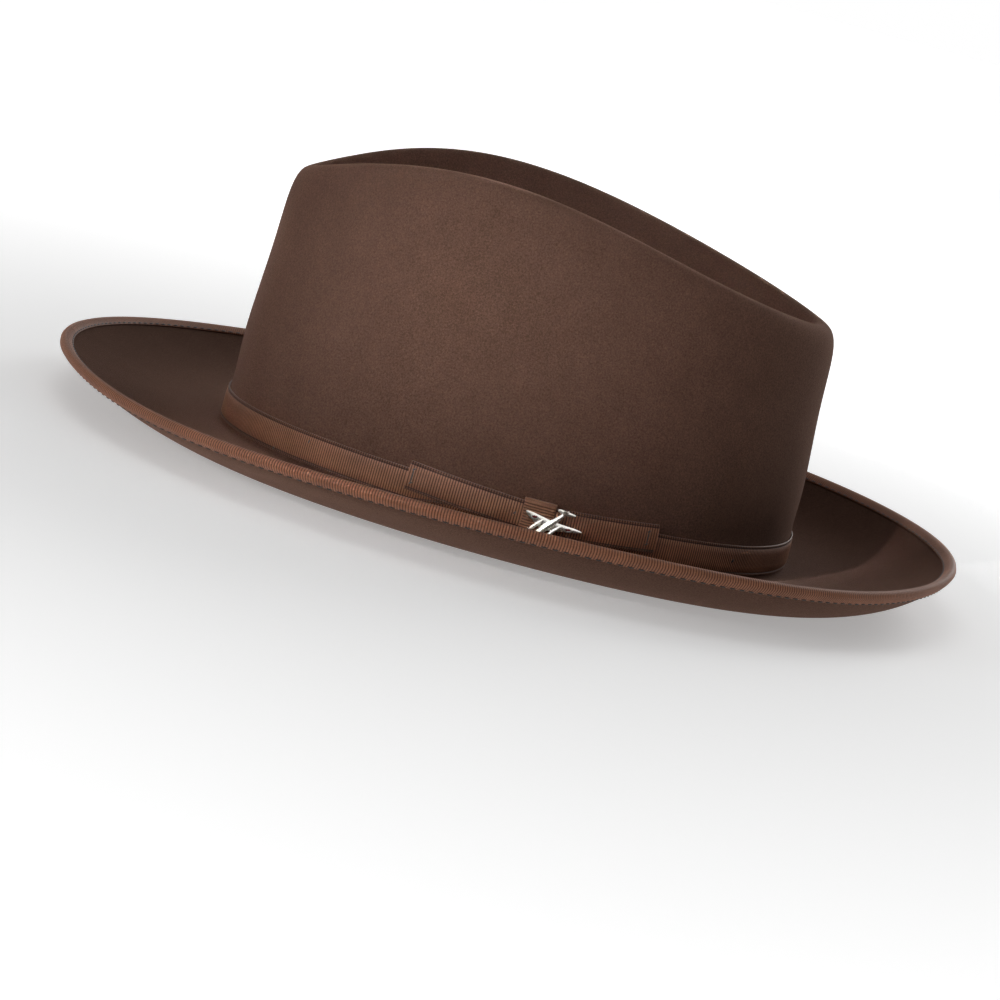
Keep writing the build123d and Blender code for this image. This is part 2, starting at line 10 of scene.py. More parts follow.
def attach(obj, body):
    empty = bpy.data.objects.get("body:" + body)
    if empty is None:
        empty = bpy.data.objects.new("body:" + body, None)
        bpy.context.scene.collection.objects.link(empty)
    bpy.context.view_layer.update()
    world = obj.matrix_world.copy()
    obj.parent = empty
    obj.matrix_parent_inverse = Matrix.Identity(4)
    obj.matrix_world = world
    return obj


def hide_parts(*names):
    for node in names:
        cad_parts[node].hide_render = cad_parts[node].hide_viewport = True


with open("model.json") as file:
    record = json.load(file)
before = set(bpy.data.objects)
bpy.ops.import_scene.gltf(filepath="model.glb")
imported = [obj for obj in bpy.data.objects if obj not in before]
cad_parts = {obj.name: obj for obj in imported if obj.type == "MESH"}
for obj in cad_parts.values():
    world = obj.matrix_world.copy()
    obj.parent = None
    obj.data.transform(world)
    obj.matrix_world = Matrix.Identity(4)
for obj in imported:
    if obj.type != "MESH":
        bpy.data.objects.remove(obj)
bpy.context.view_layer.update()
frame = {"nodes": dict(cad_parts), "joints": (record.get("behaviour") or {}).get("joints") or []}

# A fur-felt fedora. The wearer faces -Y, the wearer's left is +X and the crown rises along +Z.
# Shapes are worked out in millimetres and become metres when a mesh is made.
# "Angle" runs round the hat: 0 is the front, 90 degrees the wearer's left, 180 the back.
# A list of five values is read front, front quarter, side, rear quarter, back.
# "Height" is measured up from the fold between crown and brim, and "depth" inwards from the
# outside of the felt.
MM = 0.001
TURN = 2 * math.pi

# Felt
FELT = 2.0
OPENING_HALF_LENGTH = 104.0
OPENING_HALF_WIDTH = 87.5
OPENING_EGG = 0.06
OPENING_CENTRE_Y = 1.3
FOLD_HEIGHT = [1.8, 3.3, 4.5, 3.4, 2.4]
FELT_COLUMNS = 360
FELT_POINTS = 108
WALL_SHARES = (0.27, 0.58)

# Crown
RIDGE_HALF_WIDTH = [26.0, 46.0, 53.0, 66.0, 54.0]
RIDGE_HALF_LENGTH = 96.5
RIDGE_HEIGHT = [96.7, 108.1, 111.3, 96.5, 90.2]
WALL_BULGE = [2.0, 4.8, 5.5, 4.3, 1.6]
PINCH_DEPTH = 3.5
PINCH_ANGLE = math.radians(38)
PINCH_SPREAD = math.radians(16)
DENT_HALF_LENGTH = 62.0
DENT_FLOOR_FRONT = 81.0
DENT_FLOOR_MIDDLE = 85.5
DENT_FLOOR_BACK = 74.0
HAND_BLOCKED = 0.3

# Brim
BRIM_WIDTH = 63.0
BRIM_SLOPE_AT_FOLD = [4.0, -4.0, -7.0, -7.0, -3.0]
BRIM_SLOPE_AT_EDGE = [34.0, 40.5, 53.0, 55.5, 57.0]
BRIM_CURL = 1.8
BRIM_STEPS = 63
BRIM_STATIONS = (1, 4, 9, 17, 27, 37, 47, 56, 63)

# Ribbons
RIBBON = 0.45
AIR = 0.15
RIB_PITCH = 0.93
RIB_HEIGHT = 0.18
RIB_COLUMNS = 4
SELVAGE_STEPS = (0.12, 0.45, 0.75, 0.95, 1.25)
SELVAGE_RIBS = (0.5, 0.6, 0.5, 0.0, 1.0)
GROOVE_DEPTH = 0.14
BAND_BOTTOM = 1.8
BAND_TOP = 12.4
BAND_START = math.radians(76)
BAND_END = math.radians(439.5)
BAND_CLIMB = math.radians(5)
BAND_END_LIFT_START = math.radians(432)
BAND_END_LIFT = 20.0
EDGE_REACH = 54.0
BINDING_WIDTH = 3.3
BINDING_STITCH = 2.75
STITCH_PITCH = 3.5
STITCH_LENGTH = 2.3
THREAD_RADIUS = 0.22

# Bow on the wearer's left
BOW_FRONT = math.radians(70.9)
BOW_REAR = math.radians(119.3)
LOOP_WIDTH = 9.8
LOOP_BOTTOM = 3.2
LOOP_LIFT_FRONT = 2.3
LOOP_LIFT_REAR = 2.7
LOOP_BACK = 1.55
LOOP_LAYERS = 0.62
LOOP_PUFF = 0.45
KNOT = math.radians(95.8)
KNOT_SPREAD = math.radians(3.0)
KNOT_BOTTOM = 1.7
KNOT_TOP = 14.2
KNOT_BACK = 1.05
KNOT_FRONT = 3.0

# Thread tacks as (angle in degrees, height)
BAND_TACKS = [(39, 2.8), (48, 9.5), (140, 7.0)]
LOOP_TACKS = [(71.9, 8.1, 12.8), (117.2, 8.6, 13.0)]
KNOT_TACK = (91.6, 8.5)

# Aeroplane pin: directions of nose and wing, seen from outside with 0 towards the back of the hat
PIN_STANDOFF = 3.6
PIN_NOSE_TILT = math.radians(228)
PIN_WING_TILT = math.radians(-8)
WING_HALF_SPAN = 10.0
NOSE_REACH = 7.5
TAIL_REACH = 8.2
ENGINE_PLACE = 3.1

# Inside
LEATHER = 0.9
SWEATBAND_DEPTH = 3.3
SWEATBAND_ROLL = [(-0.3, 1.65), (2.5, 1.65), (5.0, 1.0), (8.0, 0.3), (13.0, 0.0)]
LEATHER_STITCH_HEIGHT = 1.2
LEATHER_STITCH_PITCH = 2.6
LEATHER_STITCH_LENGTH = 0.68 * LEATHER_STITCH_PITCH
CLUTCH_ANGLE = math.radians(98.0)
CLUTCH_BULGE = 2.2
CLUTCH_BULGE_SPREAD = math.radians(6)
CLUTCH_BULGE_HEIGHTS = [(2.5, 0.0), (4.0, 1.0), (13.0, 1.0), (24.0, 0.0)]
REED_DEPTH = 3.45
REED_HEIGHT = 0.7
TAPE = 0.3
TAPE_ROOM = 1.05
TAPE_TOP = 2.6
LINING = 0.3
LINING_AIR = 0.6
LINING_BOTTOM = 24.0
LINING_SEAM = 0.215
LINING_SEAM_GAP = 0.003
LINING_GATHER = 0.5
LINING_GATHERS = 46


# ---------------------------------------------------------------- shape of the felt

def around(angle, values):
    """A smooth curve round the hat through values spaced evenly from front to back."""
    last = len(values) - 1
    total = np.zeros_like(angle, dtype=float)
    for wave in range(last + 1):
        amount = 0.0
        for station, value in enumerate(values):
            share = 1.0 if 0 < station < last else 0.5
            amount += share * value * math.cos(math.pi * station * wave / last)
        share = 1.0 if 0 < wave < last else 0.5
        total = total + share * amount * np.cos(wave * angle) * 2.0 / last
    return total


def upright(height):
    """Vectors straight up of these lengths."""
    return np.stack([np.zeros_like(height), np.zeros_like(height), height], axis=-1)


def unit(vectors):
    return vectors / np.linalg.norm(vectors, axis=-1, keepdims=True)


def fold_oval(angle):
    """Plan points and outward directions of the fold between crown and brim."""
    sine, cosine = np.sin(angle), np.cos(angle)
    x = OPENING_HALF_WIDTH * sine * (1 - OPENING_EGG * cosine)
    y = OPENING_CENTRE_Y - OPENING_HALF_LENGTH * cosine
    run_x = OPENING_HALF_WIDTH * (cosine - OPENING_EGG * np.cos(2 * angle))
    run_y = OPENING_HALF_LENGTH * sine
    flat = np.zeros_like(x)
    return np.stack([x, y, flat], axis=-1), unit(np.stack([run_y, -run_x, flat], axis=-1))


def brim_run(angle):
    """Outward and upward travel from the fold to each of BRIM_STATIONS."""
    first = np.radians(around(angle, BRIM_SLOPE_AT_FOLD))[:, None]
    last = np.radians(around(angle, BRIM_SLOPE_AT_EDGE))[:, None]
    middles = (np.arange(BRIM_STEPS) + 0.5) / BRIM_STEPS
    slope = first + (last - first) * middles ** BRIM_CURL
    step = BRIM_WIDTH / BRIM_STEPS
    reach = np.cumsum(step * np.cos(slope), axis=1)
    rise = np.cumsum(step * np.sin(slope), axis=1)
    return [(reach[:, station - 1], rise[:, station - 1]) for station in BRIM_STATIONS]


def dent_floor(angle):
    """Height of the dent's bottom line, which runs level into its two ends."""
    along = np.cos(angle)
    end = np.where(along > 0, DENT_FLOOR_FRONT, DENT_FLOOR_BACK)
    return DENT_FLOOR_MIDDLE + (end - DENT_FLOOR_MIDDLE) * along ** 2 * (3 - 2 * np.abs(along))


def meridian(angle):
    """Control points of the felt's upper surface, from the dent's bottom line to the brim's edge."""
    fold, out = fold_oval(angle)
    sine, cosine = np.sin(angle), np.cos(angle)
    base = around(angle, FOLD_HEIGHT)
    height = around(angle, RIDGE_HEIGHT)
    height = height + HAND_BLOCKED * (np.sin(2 * angle + 0.9) + 0.6 * np.sin(5 * angle + 2.0))
    flat = np.zeros_like(sine)
    ridge_x = around(angle, RIDGE_HALF_WIDTH) * sine
    ridge = np.stack([ridge_x, OPENING_CENTRE_Y - RIDGE_HALF_LENGTH * cosine, flat], axis=-1)
    ridge = ridge + out * (HAND_BLOCKED * np.sin(3 * angle + 0.4))[:, None]
    dent = np.stack([flat, OPENING_CENTRE_Y - DENT_HALF_LENGTH * cosine, flat], axis=-1)
    inward = unit(dent - ridge)
    floor = dent_floor(angle)
    side_angle = np.abs((angle + math.pi) % TURN - math.pi)
    pinch = PINCH_DEPTH * np.exp(-(((side_angle - PINCH_ANGLE) / PINCH_SPREAD) ** 2))
    bulge = around(angle, WALL_BULGE) + HAND_BLOCKED * 0.8 * np.sin(4 * angle + 1.7)

    def outwards(distance):
        return out * np.reshape(distance, (-1, 1))

    points = [
        dent + upright(floor),
        dent + (ridge - dent) * 0.35 + upright(floor),
        dent + (ridge - dent) * 0.75 + upright(floor + 0.55 * (height - floor)),
        ridge + inward * 6.5 + upright(height),
        ridge + outwards(1.0) + upright(height + 0.5),
        ridge + outwards(4.5 - 0.5 * pinch) + upright(height - 8.0),
        ridge * 0.68 + fold * 0.32 + outwards(bulge - pinch) + upright(height * 0.68),
        ridge * 0.28 + fold * 0.72 + outwards(bulge - 0.6 * pinch) + upright(height * 0.36),
        fold - outwards(1.0) + upright(base + 18.0),
        fold + upright(base + 9.0),
        fold + upright(base + 4.0),
        fold + upright(base + 1.0),
    ]
    wave = HAND_BLOCKED * (np.sin(3 * angle + 2.2) + 0.5 * np.sin(7 * angle))
    for station, (reach, rise) in zip(BRIM_STATIONS, brim_run(angle)):
        lift = wave * (station / BRIM_STEPS) ** 2
        points.append(fold + outwards(reach) + upright(base + rise + lift))
    return np.stack(points, axis=1)


def along_spline(controls, share):
    """Points on one cubic B-spline per row; share has one row of places for each of them."""
    count = controls.shape[1]
    padded = np.concatenate([controls[:, :1]] * 2 + [controls] + [controls[:, -1:]] * 2, axis=1)
    place = np.clip(share, 0.0, 1.0) * (count + 1)
    index = np.minimum(place.astype(int), count)
    part = (place - index)[..., None]
    weights = (
        (1 - part) ** 3 / 6,
        (3 * part ** 3 - 6 * part ** 2 + 4) / 6,
        (-3 * part ** 3 + 3 * part ** 2 + 3 * part + 1) / 6,
        part ** 3 / 6,
    )
    rows = np.arange(len(controls))[:, None]
    return sum(padded[rows, index + offset] * weight for offset, weight in enumerate(weights))


def felt_point(angle, share):
    """Points on the felt's upper surface: share 0 is the dent's bottom line, 1 the brim's edge."""
    return along_spline(meridian(angle), share)


def felt_offset(angle, share, depth):
    """Points below the felt's upper surface by depth, or above it where depth is negative."""
    step = 0.002
    nearby = np.maximum(share, step)
    across = felt_point(angle + step, nearby) - felt_point(angle - step, nearby)
    along = felt_point(angle, share + step) - felt_point(angle, share - step)
    normal = np.cross(along, across)
    on_the_line = (share <= 0.0)[..., None] * np.array([1.0, 0.0, 0.0])
    normal = unit(normal * (1 - on_the_line))
    return felt_point(angle, share) - normal * np.reshape(depth, np.shape(depth) + (1,))


def bisect(low, high, is_low, rounds=22):
    """Arrays of places where is_low(place) turns from true to false between low and high."""
    for _ in range(rounds):
        middle = (low + high) / 2
        below = is_low(middle)
        low = np.where(below, middle, low)
        high = np.where(below, high, middle)
    return low


def share_at_height(controls, height):
    """Shares at which the crown's wall comes down to these heights above the floor."""
    low, high = (np.full_like(height, end) for end in WALL_SHARES)
    return bisect(low, high, lambda share: along_spline(controls, share)[..., 2] > height)


def wall(angle, height, depth):
    """Points by the crown's wall, one row per angle; depth is measured level and inwards."""
    fold, out = fold_oval(angle)
    base = around(angle, FOLD_HEIGHT)[:, None]
    height = np.broadcast_to(height, (len(angle), np.shape(height)[-1]))
    controls = meridian(angle)
    target = base + np.maximum(height, 2.4)
    share = share_at_height(controls, target)
    points = along_spline(controls, share)
    lean = ((points - fold[:, None]) * out[:, None]).sum(axis=-1)
    return fold[:, None] + out[:, None] * (lean - depth)[..., None] + upright(base + height)


def from_edge(angle, distance):
    """Shares at which the brim's surface is this far in from its edge."""
    edge = felt_point(angle, np.ones((len(angle), 1)))
    controls = meridian(angle)
    distance = np.broadcast_to(distance, (len(angle), np.shape(distance)[-1]))

    def is_far(place):
        return np.linalg.norm(along_spline(controls, place) - edge, axis=-1) > distance
    return bisect(np.full_like(distance, 0.8), np.ones_like(distance), is_far)


def evenly(first, last, pitch, columns, reach):
    """Angles spaced evenly by length, columns of them to a pitch, at reach outside the fold."""
    fine = np.linspace(first, last, 4001)
    fold, out = fold_oval(fine)
    line = fold + out * reach
    length = np.concatenate([[0.0], np.cumsum(np.linalg.norm(np.diff(line, axis=0), axis=1))])
    count = max(round(length[-1] / pitch), 1)
    spots = np.linspace(0.0, length[-1], count * columns + 1)
    return np.interp(spots, length, fine), spots


def rib(length):
    """Round crests with narrow valleys between them, from 0 to 1, along a ribbon."""
    return np.abs(np.sin(math.pi * length / RIB_PITCH))


# ---------------------------------------------------------------- meshes

def make_mesh(name, points, faces, rib_values=None, cloth=None):
    """Smooth mesh from points in millimetres; cloth is each point's place on the flat ribbon."""
    mesh = bpy.data.meshes.new(name)
    mesh.from_pydata((points * MM).tolist(), [], faces.tolist())
    # The rib attribute holds each point's rib height; the grosgrain material uses it to paint shade,
    # dark in the valleys between the ribs.
    if rib_values is not None:
        mesh.attributes.new("rib", "FLOAT", "POINT").data.foreach_set("value", rib_values)
    if cloth is not None:
        layer = mesh.uv_layers.new(name="cloth")
        layer.data.foreach_set("uv", (cloth[faces.ravel()] * MM).ravel())
    build = bmesh.new()
    build.from_mesh(mesh)
    bmesh.ops.remove_doubles(build, verts=build.verts, dist=1e-6)
    bmesh.ops.recalc_face_normals(build, faces=build.faces)
    build.to_mesh(mesh)
    build.free()
    mesh.shade_smooth()
    return mesh


def grid_faces(rows, columns, wrap_rows, wrap_columns):
    row = np.arange(rows if wrap_rows else rows - 1)
    column = np.arange(columns if wrap_columns else columns - 1)
    row, column = np.meshgrid(row, column, indexing="ij")
    next_row, next_column = (row + 1) % rows, (column + 1) % columns
    corners = [
        row * columns + column, next_row * columns + column,
        next_row * columns + next_column, row * columns + next_column,
    ]
    return np.stack(corners, axis=-1).reshape(-1, 4)


def grid_mesh(name, grid, wrap_rows=False, wrap_columns=True, rib_values=None, cloth=None):
    """Mesh of a grid of points: rows, columns, xyz. Open rows are closed by flat caps of quads."""
    rows, columns = grid.shape[:2]
    faces = grid_faces(rows, columns, wrap_rows, wrap_columns)
    if wrap_columns and not wrap_rows:
        half = columns // 2
        side = np.arange(half - 1)
        for start in (0, (rows - 1) * columns):
            across = start + columns - 1 - side
            caps = [start + side, start + side + 1, across - 1, across]
            faces = np.concatenate([faces, np.stack(caps, axis=-1)])
    if rib_values is not None:
        rib_values = np.broadcast_to(rib_values, (rows, columns)).ravel()
    if cloth is not None:
        cloth = cloth.reshape(-1, 2)
    return make_mesh(name, grid.reshape(-1, 3), faces, rib_values, cloth)


def place(name, mesh, material, body, slot, *nodes):
    """Piece that rides on a body and stands for the named nodes."""
    piece = bpy.data.objects.new(name, mesh)
    bpy.context.scene.collection.objects.link(piece)
    mesh.materials.append(material)
    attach(piece, body)
    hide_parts(*nodes)
    return piece


def across_ribbon(width):
    """Places across a ribbon, how strongly its ribs stand there, and the groove by each edge."""
    steps, strength = np.array(SELVAGE_STEPS), np.array(SELVAGE_RIBS)
    middle = np.linspace(SELVAGE_STEPS[-1], width - SELVAGE_STEPS[-1], 5)[1:-1]
    places = np.concatenate([steps, middle, width - steps[::-1]])
    strengths = np.concatenate([strength, np.ones_like(middle), strength[::-1]])
    return places / width, strengths, GROOVE_DEPTH * (strengths == 0.0)


def closed_section(outer, top_edge, inner, bottom_edge):
    """Ring of points round a ribbon: its outer face, top edge, inner face and bottom edge."""
    return np.concatenate([outer, top_edge, inner[:, ::-1], bottom_edge], axis=1)


def section_ribs(ribs, strengths):
    """Rib values for the points of a closed_section."""
    face, edge = ribs[:, None] * strengths, ribs[:, None] * 0.6
    return np.concatenate([face, edge, face[:, ::-1], edge], axis=1)


def ribbon_on_wall(angle, bottom, top, depth, thickness, ribs=None):
    """Sections of a ribbon round the crown's wall, with ribs standing on its outer face."""
    bottom = np.broadcast_to(bottom, angle.shape)[:, None]
    top = np.broadcast_to(top, angle.shape)[:, None]
    depth = np.broadcast_to(depth, angle.shape)[:, None]
    marks, strengths, groove = across_ribbon((top - bottom).mean())
    heights = bottom + (top - bottom) * marks
    stand = 0.0 if ribs is None else RIB_HEIGHT * ribs[:, None] * strengths - groove
    outer = wall(angle, heights, depth - thickness - stand)
    inner = wall(angle, heights, np.broadcast_to(depth, heights.shape))
    top_edge = wall(angle, top, depth - thickness / 2)
    bottom_edge = wall(angle, bottom, depth - thickness / 2)
    return closed_section(outer, top_edge, inner, bottom_edge), strengths


def stitch_row(name, starts, ends, outward, radius, arch):
    """Short plump threads, each from a start to an end, arching along outward."""
    marks = np.linspace(0.0, 1.0, 9)[None, :, None]
    turns = np.linspace(0.0, TURN, 8, endpoint=False)
    swell = np.sin(math.pi * marks)
    centre = starts[:, None] + (ends - starts)[:, None] * marks
    centre = centre + outward[:, None] * (arch * swell)
    side = unit(np.cross(ends - starts, outward))[:, None]
    girth = radius * np.sqrt(swell)
    rings = [
        centre + girth * (math.cos(turn) * side + math.sin(turn) * outward[:, None])
        for turn in turns
    ]
    grid = np.stack(rings, axis=2)
    count, rows, columns = grid.shape[:3]
    faces = grid_faces(rows, columns, False, True)
    offsets = (np.arange(count) * rows * columns)[:, None, None]
    return make_mesh(name, grid.reshape(-1, 3), (faces[None] + offsets).reshape(-1, 4))


# ---------------------------------------------------------------- materials

def new_material(name, colour, roughness, sockets=()):
    material = bpy.data.materials.new(name)
    material.use_nodes = True
    shader = material.node_tree.nodes["Principled BSDF"]
    shader.inputs["Base Color"].default_value = (*colour, 1.0)
    shader.inputs["Roughness"].default_value = roughness
    for socket, value in dict(sockets).items():
        shader.inputs[socket].default_value = value
    return material, material.node_tree, shader


def feed(shader, socket, output):
    """Lead a node's output into a socket of the material's shader."""
    shader.id_data.links.new(output, shader.inputs[socket])


def object_place(tree):
    return tree.nodes.new("ShaderNodeTexCoord").outputs["Object"]


def cloth_place(tree):
    node = tree.nodes.new("ShaderNodeUVMap")
    node.uv_map = "cloth"
    return node.outputs["UV"]


def stretched(tree, place_output, scale):
    node = tree.nodes.new("ShaderNodeMapping")
    node.inputs["Scale"].default_value = scale
    tree.links.new(place_output, node.inputs["Vector"])
    return node.outputs["Vector"]


def noise(tree, place_output, scale, detail=3.0, roughness=0.55):
    node = tree.nodes.new("ShaderNodeTexNoise")
    node.inputs["Scale"].default_value = scale
    node.inputs["Detail"].default_value = detail
    node.inputs["Roughness"].default_value = roughness
    tree.links.new(place_output, node.inputs["Vector"])
    return node.outputs[0]


def cells(tree, place_output, scale):
    node = tree.nodes.new("ShaderNodeTexVoronoi")
    node.inputs["Scale"].default_value = scale
    tree.links.new(place_output, node.inputs["Vector"])
    return node.outputs["Distance"]


def ramp(tree, factor, low, high, first=0.3, last=0.7):
    """Colours from low to high as factor goes from first to last."""
    node = tree.nodes.new("ShaderNodeValToRGB")
    node.color_ramp.elements[0].position = first
    node.color_ramp.elements[1].position = last
    node.color_ramp.elements[0].color = (*low, 1.0)
    node.color_ramp.elements[1].color = (*high, 1.0)
    tree.links.new(factor, node.inputs["Fac"])
    return node.outputs["Color"]


def grey(tree, factor, low, high, first=0.3, last=0.7):
    return ramp(tree, factor, (low,) * 3, (high,) * 3, first, last)


def colour_sockets(node):
    """The colour sockets of a Mix node, which shares their names with number sockets."""
    found = [socket for socket in node.inputs if socket.type == "RGBA"]
    return found[0], found[1], [socket for socket in node.outputs if socket.type == "RGBA"][0]


def multiplied(tree, first, second, amount=1.0):
    node = tree.nodes.new("ShaderNodeMix")
    node.data_type = "RGBA"
    node.blend_type = "MULTIPLY"
    node.inputs[0].default_value = amount
    a, b, result = colour_sockets(node)
    tree.links.new(first, a)
    tree.links.new(second, b)
    return result


def bumped(tree, height, strength, distance, normal=None):
    node = tree.nodes.new("ShaderNodeBump")
    node.inputs["Strength"].default_value = strength
    node.inputs["Distance"].default_value = distance
    tree.links.new(height, node.inputs["Height"])
    if normal is not None:
        tree.links.new(normal, node.inputs["Normal"])
    return node.outputs["Normal"]


def felt_material():
    sheen = {
        "Sheen Weight": 0.3, "Sheen Roughness": 0.45, "Sheen Tint": (0.7, 0.42, 0.31, 1.0),
        "Specular IOR Level": 0.05, "Diffuse Roughness": 0.5,
    }
    material, tree, shader = new_material("fur_felt", (0.09, 0.047, 0.034), 0.9, sheen)
    where = object_place(tree)
    broad = ramp(tree, noise(tree, where, 90.0, 4.0), (0.085, 0.0445, 0.0315), (0.096, 0.0505, 0.036))
    speckle = grey(tree, noise(tree, where, 1700.0, 5.0, 0.75), 0.6, 1.36, 0.34, 0.66)
    nap = grey(tree, noise(tree, where, 3600.0, 3.0, 0.7), 0.72, 1.24)
    colour = multiplied(tree, multiplied(tree, broad, speckle), nap)
    feed(shader, "Base Color", colour)
    coarse = bumped(tree, noise(tree, where, 1500.0, 5.0, 0.7), 0.4, 0.00022)
    fine = bumped(tree, noise(tree, where, 2600.0, 4.0, 0.75), 0.5, 0.00018, coarse)
    feed(shader, "Normal", fine)
    return material


def grosgrain_material(name, valley_painted_shade, crest):
    sheen = {
        "Sheen Weight": 0.1, "Sheen Roughness": 0.4, "Sheen Tint": (0.8, 0.5, 0.36, 1.0),
        "Specular IOR Level": 0.22,
    }
    material, tree, shader = new_material(name, crest, 0.5, sheen)
    # Painted shade: the rib attribute takes the colour from the crest colour down to a far darker colour
    # in the valleys between the ribs.
    attribute = tree.nodes.new("ShaderNodeAttribute")
    attribute.attribute_name = "rib"
    colour = ramp(tree, attribute.outputs["Fac"], valley_painted_shade, crest, 0.2, 0.95)
    where = cloth_place(tree)
    fade = grey(tree, noise(tree, stretched(tree, where, (60.0, 160.0, 1.0)), 1.0, 4.0), 0.78, 1.12)
    threads = noise(tree, stretched(tree, where, (900.0, 6500.0, 1.0)), 1.0, 2.0)
    colour = multiplied(tree, multiplied(tree, colour, fade), grey(tree, threads, 0.75, 1.2))
    feed(shader, "Base Color", colour)
    feed(shader, "Normal", bumped(tree, threads, 0.5, 0.00008))
    feed(shader, "Roughness", grey(tree, threads, 0.62, 0.42))
    return material


def thread_material(name, colour):
    material, tree, shader = new_material(name, colour, 0.6, {"Sheen Weight": 0.2})
    where = object_place(tree)
    strands = noise(tree, where, 5200.0, 2.0)
    low = tuple(part * 0.55 for part in colour)
    high = tuple(part * 1.5 for part in colour)
    feed(shader, "Base Color", ramp(tree, strands, low, high))
    feed(shader, "Normal", bumped(tree, strands, 0.6, 0.0001))
    return material


def metal_material(name, colour, dull, roughness):
    material, tree, shader = new_material(name, colour, roughness, {"Metallic": 1.0})
    where = object_place(tree)
    tarnish = ramp(tree, noise(tree, where, 700.0, 5.0, 0.65), dull, colour, 0.2, 0.5)
    feed(shader, "Base Color", tarnish)
    scuffs = noise(tree, stretched(tree, where, (1.0, 6.0, 2.0)), 900.0, 6.0, 0.7)
    rough = grey(tree, scuffs, roughness * 0.6, roughness * 1.7)
    feed(shader, "Roughness", rough)
    feed(shader, "Normal", bumped(tree, scuffs, 0.12, 0.00004))
    return material


def enamel_material():
    coat = {"Coat Weight": 0.8, "Coat Roughness": 0.06}
    material, tree, shader = new_material("red_enamel", (0.2, 0.01, 0.012), 0.25, coat)
    where = object_place(tree)
    depth = ramp(tree, noise(tree, where, 1400.0, 3.0), (0.1, 0.006, 0.008), (0.26, 0.014, 0.016))
    feed(shader, "Base Color", depth)
    feed(shader, "Normal", bumped(tree, noise(tree, where, 1800.0, 2.0), 0.1, 0.00003))
    return material


def leather_material():
    sockets = {"Specular IOR Level": 0.45, "Coat Weight": 0.12, "Coat Roughness": 0.35}
    material, tree, shader = new_material("sweatband_leather", (0.16, 0.075, 0.036), 0.5, sockets)
    where = object_place(tree)
    tone = ramp(tree, noise(tree, where, 45.0, 5.0), (0.11, 0.05, 0.024), (0.2, 0.098, 0.048))
    grain = cells(tree, where, 1100.0)
    colour = multiplied(tree, tone, grey(tree, grain, 1.05, 0.7, 0.25, 0.8))
    feed(shader, "Base Color", colour)
    pores = bumped(tree, grain, 0.35, 0.00012)
    creases = noise(tree, stretched(tree, where, (1.0, 1.0, 2.5)), 160.0, 6.0, 0.6)
    feed(shader, "Normal", bumped(tree, creases, 0.25, 0.0005, pores))
    feed(shader, "Roughness", grey(tree, creases, 0.4, 0.62))
    return material


def woven_material(name, low, high, roughness, sheen):
    """Plain weave with warp and weft, for tapes, lining and paper fibres alike."""
    sockets = {"Sheen Weight": sheen, "Sheen Roughness": 0.35, "Specular IOR Level": 0.4}
    material, tree, shader = new_material(name, high, roughness, sockets)
    where = cloth_place(tree)
    warp = noise(tree, stretched(tree, where, (5000.0, 700.0, 1.0)), 1.0, 2.0)
    weft = noise(tree, stretched(tree, where, (700.0, 5000.0, 1.0)), 1.0, 2.0)
    tone = ramp(tree, noise(tree, stretched(tree, where, (40.0, 40.0, 1.0)), 1.0, 4.0), low, high)
    warped = multiplied(tree, tone, grey(tree, warp, 0.82, 1.12))
    colour = multiplied(tree, warped, grey(tree, weft, 0.82, 1.12))
    feed(shader, "Base Color", colour)
    first = bumped(tree, warp, 0.4, 0.00006)
    feed(shader, "Normal", bumped(tree, weft, 0.4, 0.00006, first))
    return material


def plastic_material():
    material, tree, shader = new_material("reed_plastic", (0.62, 0.58, 0.5), 0.4)
    where = object_place(tree)
    tone = ramp(tree, noise(tree, where, 160.0, 4.0), (0.55, 0.51, 0.43), (0.68, 0.64, 0.56))
    feed(shader, "Base Color", tone)
    feed(shader, "Roughness", grey(tree, noise(tree, where, 900.0), 0.32, 0.5))
    return material


FELT_LOOK = felt_material()
# For each grosgrain the first colour is painted shade for the valleys between its ribs, and the second
# is the crests' colour.
BAND_LOOK = grosgrain_material("band_grosgrain", (0.02, 0.0055, 0.0022), (0.3, 0.132, 0.073))
BINDING_LOOK = grosgrain_material("binding_grosgrain", (0.05, 0.014, 0.006), (0.33, 0.135, 0.07))
THREAD_LOOK = thread_material("dark_thread", (0.012, 0.007, 0.006))
LEATHER_THREAD_LOOK = thread_material("leather_thread", (0.12, 0.06, 0.03))
SILVER_LOOK = metal_material("silver_plate", (0.95, 0.93, 0.88), (0.66, 0.62, 0.55), 0.26)
BRASS_LOOK = metal_material("clutch_brass", (0.78, 0.6, 0.3), (0.45, 0.32, 0.15), 0.32)
STEEL_LOOK = metal_material("sleeve_steel", (0.62, 0.62, 0.62), (0.4, 0.4, 0.4), 0.35)
ENAMEL_LOOK = enamel_material()
LEATHER_LOOK = leather_material()
TAPE_LOOK = woven_material("woven_tape", (0.075, 0.045, 0.03), (0.12, 0.07, 0.046), 0.8, 0.1)
SMALL_BOW_LOOK = woven_material("satin_ribbon", (0.08, 0.038, 0.024), (0.14, 0.066, 0.042), 0.35, 0.3)
PAPER_LOOK = woven_material("tag_paper", (0.66, 0.62, 0.54), (0.76, 0.73, 0.66), 0.85, 0.0)
LINING_LOOK = woven_material("lining_satin", (0.105, 0.056, 0.034), (0.15, 0.084, 0.052), 0.32, 0.35)
PLASTIC_LOOK = plastic_material()


# ---------------------------------------------------------------- felt and lining

def skin(columns, shares, depth, thickness, rim):
    """Both faces of a skin under the felt's surface, with an edge that stands out by rim."""
    angle = np.linspace(0.0, TURN, columns, endpoint=False)
    share = np.broadcast_to(shares, (columns, np.shape(shares)[-1]))
    depth = np.broadcast_to(depth, share.shape)
    upper = felt_offset(angle, share, depth)
    lower = felt_offset(angle, share, depth + thickness)
    tip = unit(upper[:, -1:] - upper[:, -2:-1])
    middle = (upper[:, -1:] + lower[:, -1:]) / 2 + tip * rim
    return np.concatenate([upper, middle, lower[:, ::-1]], axis=1)


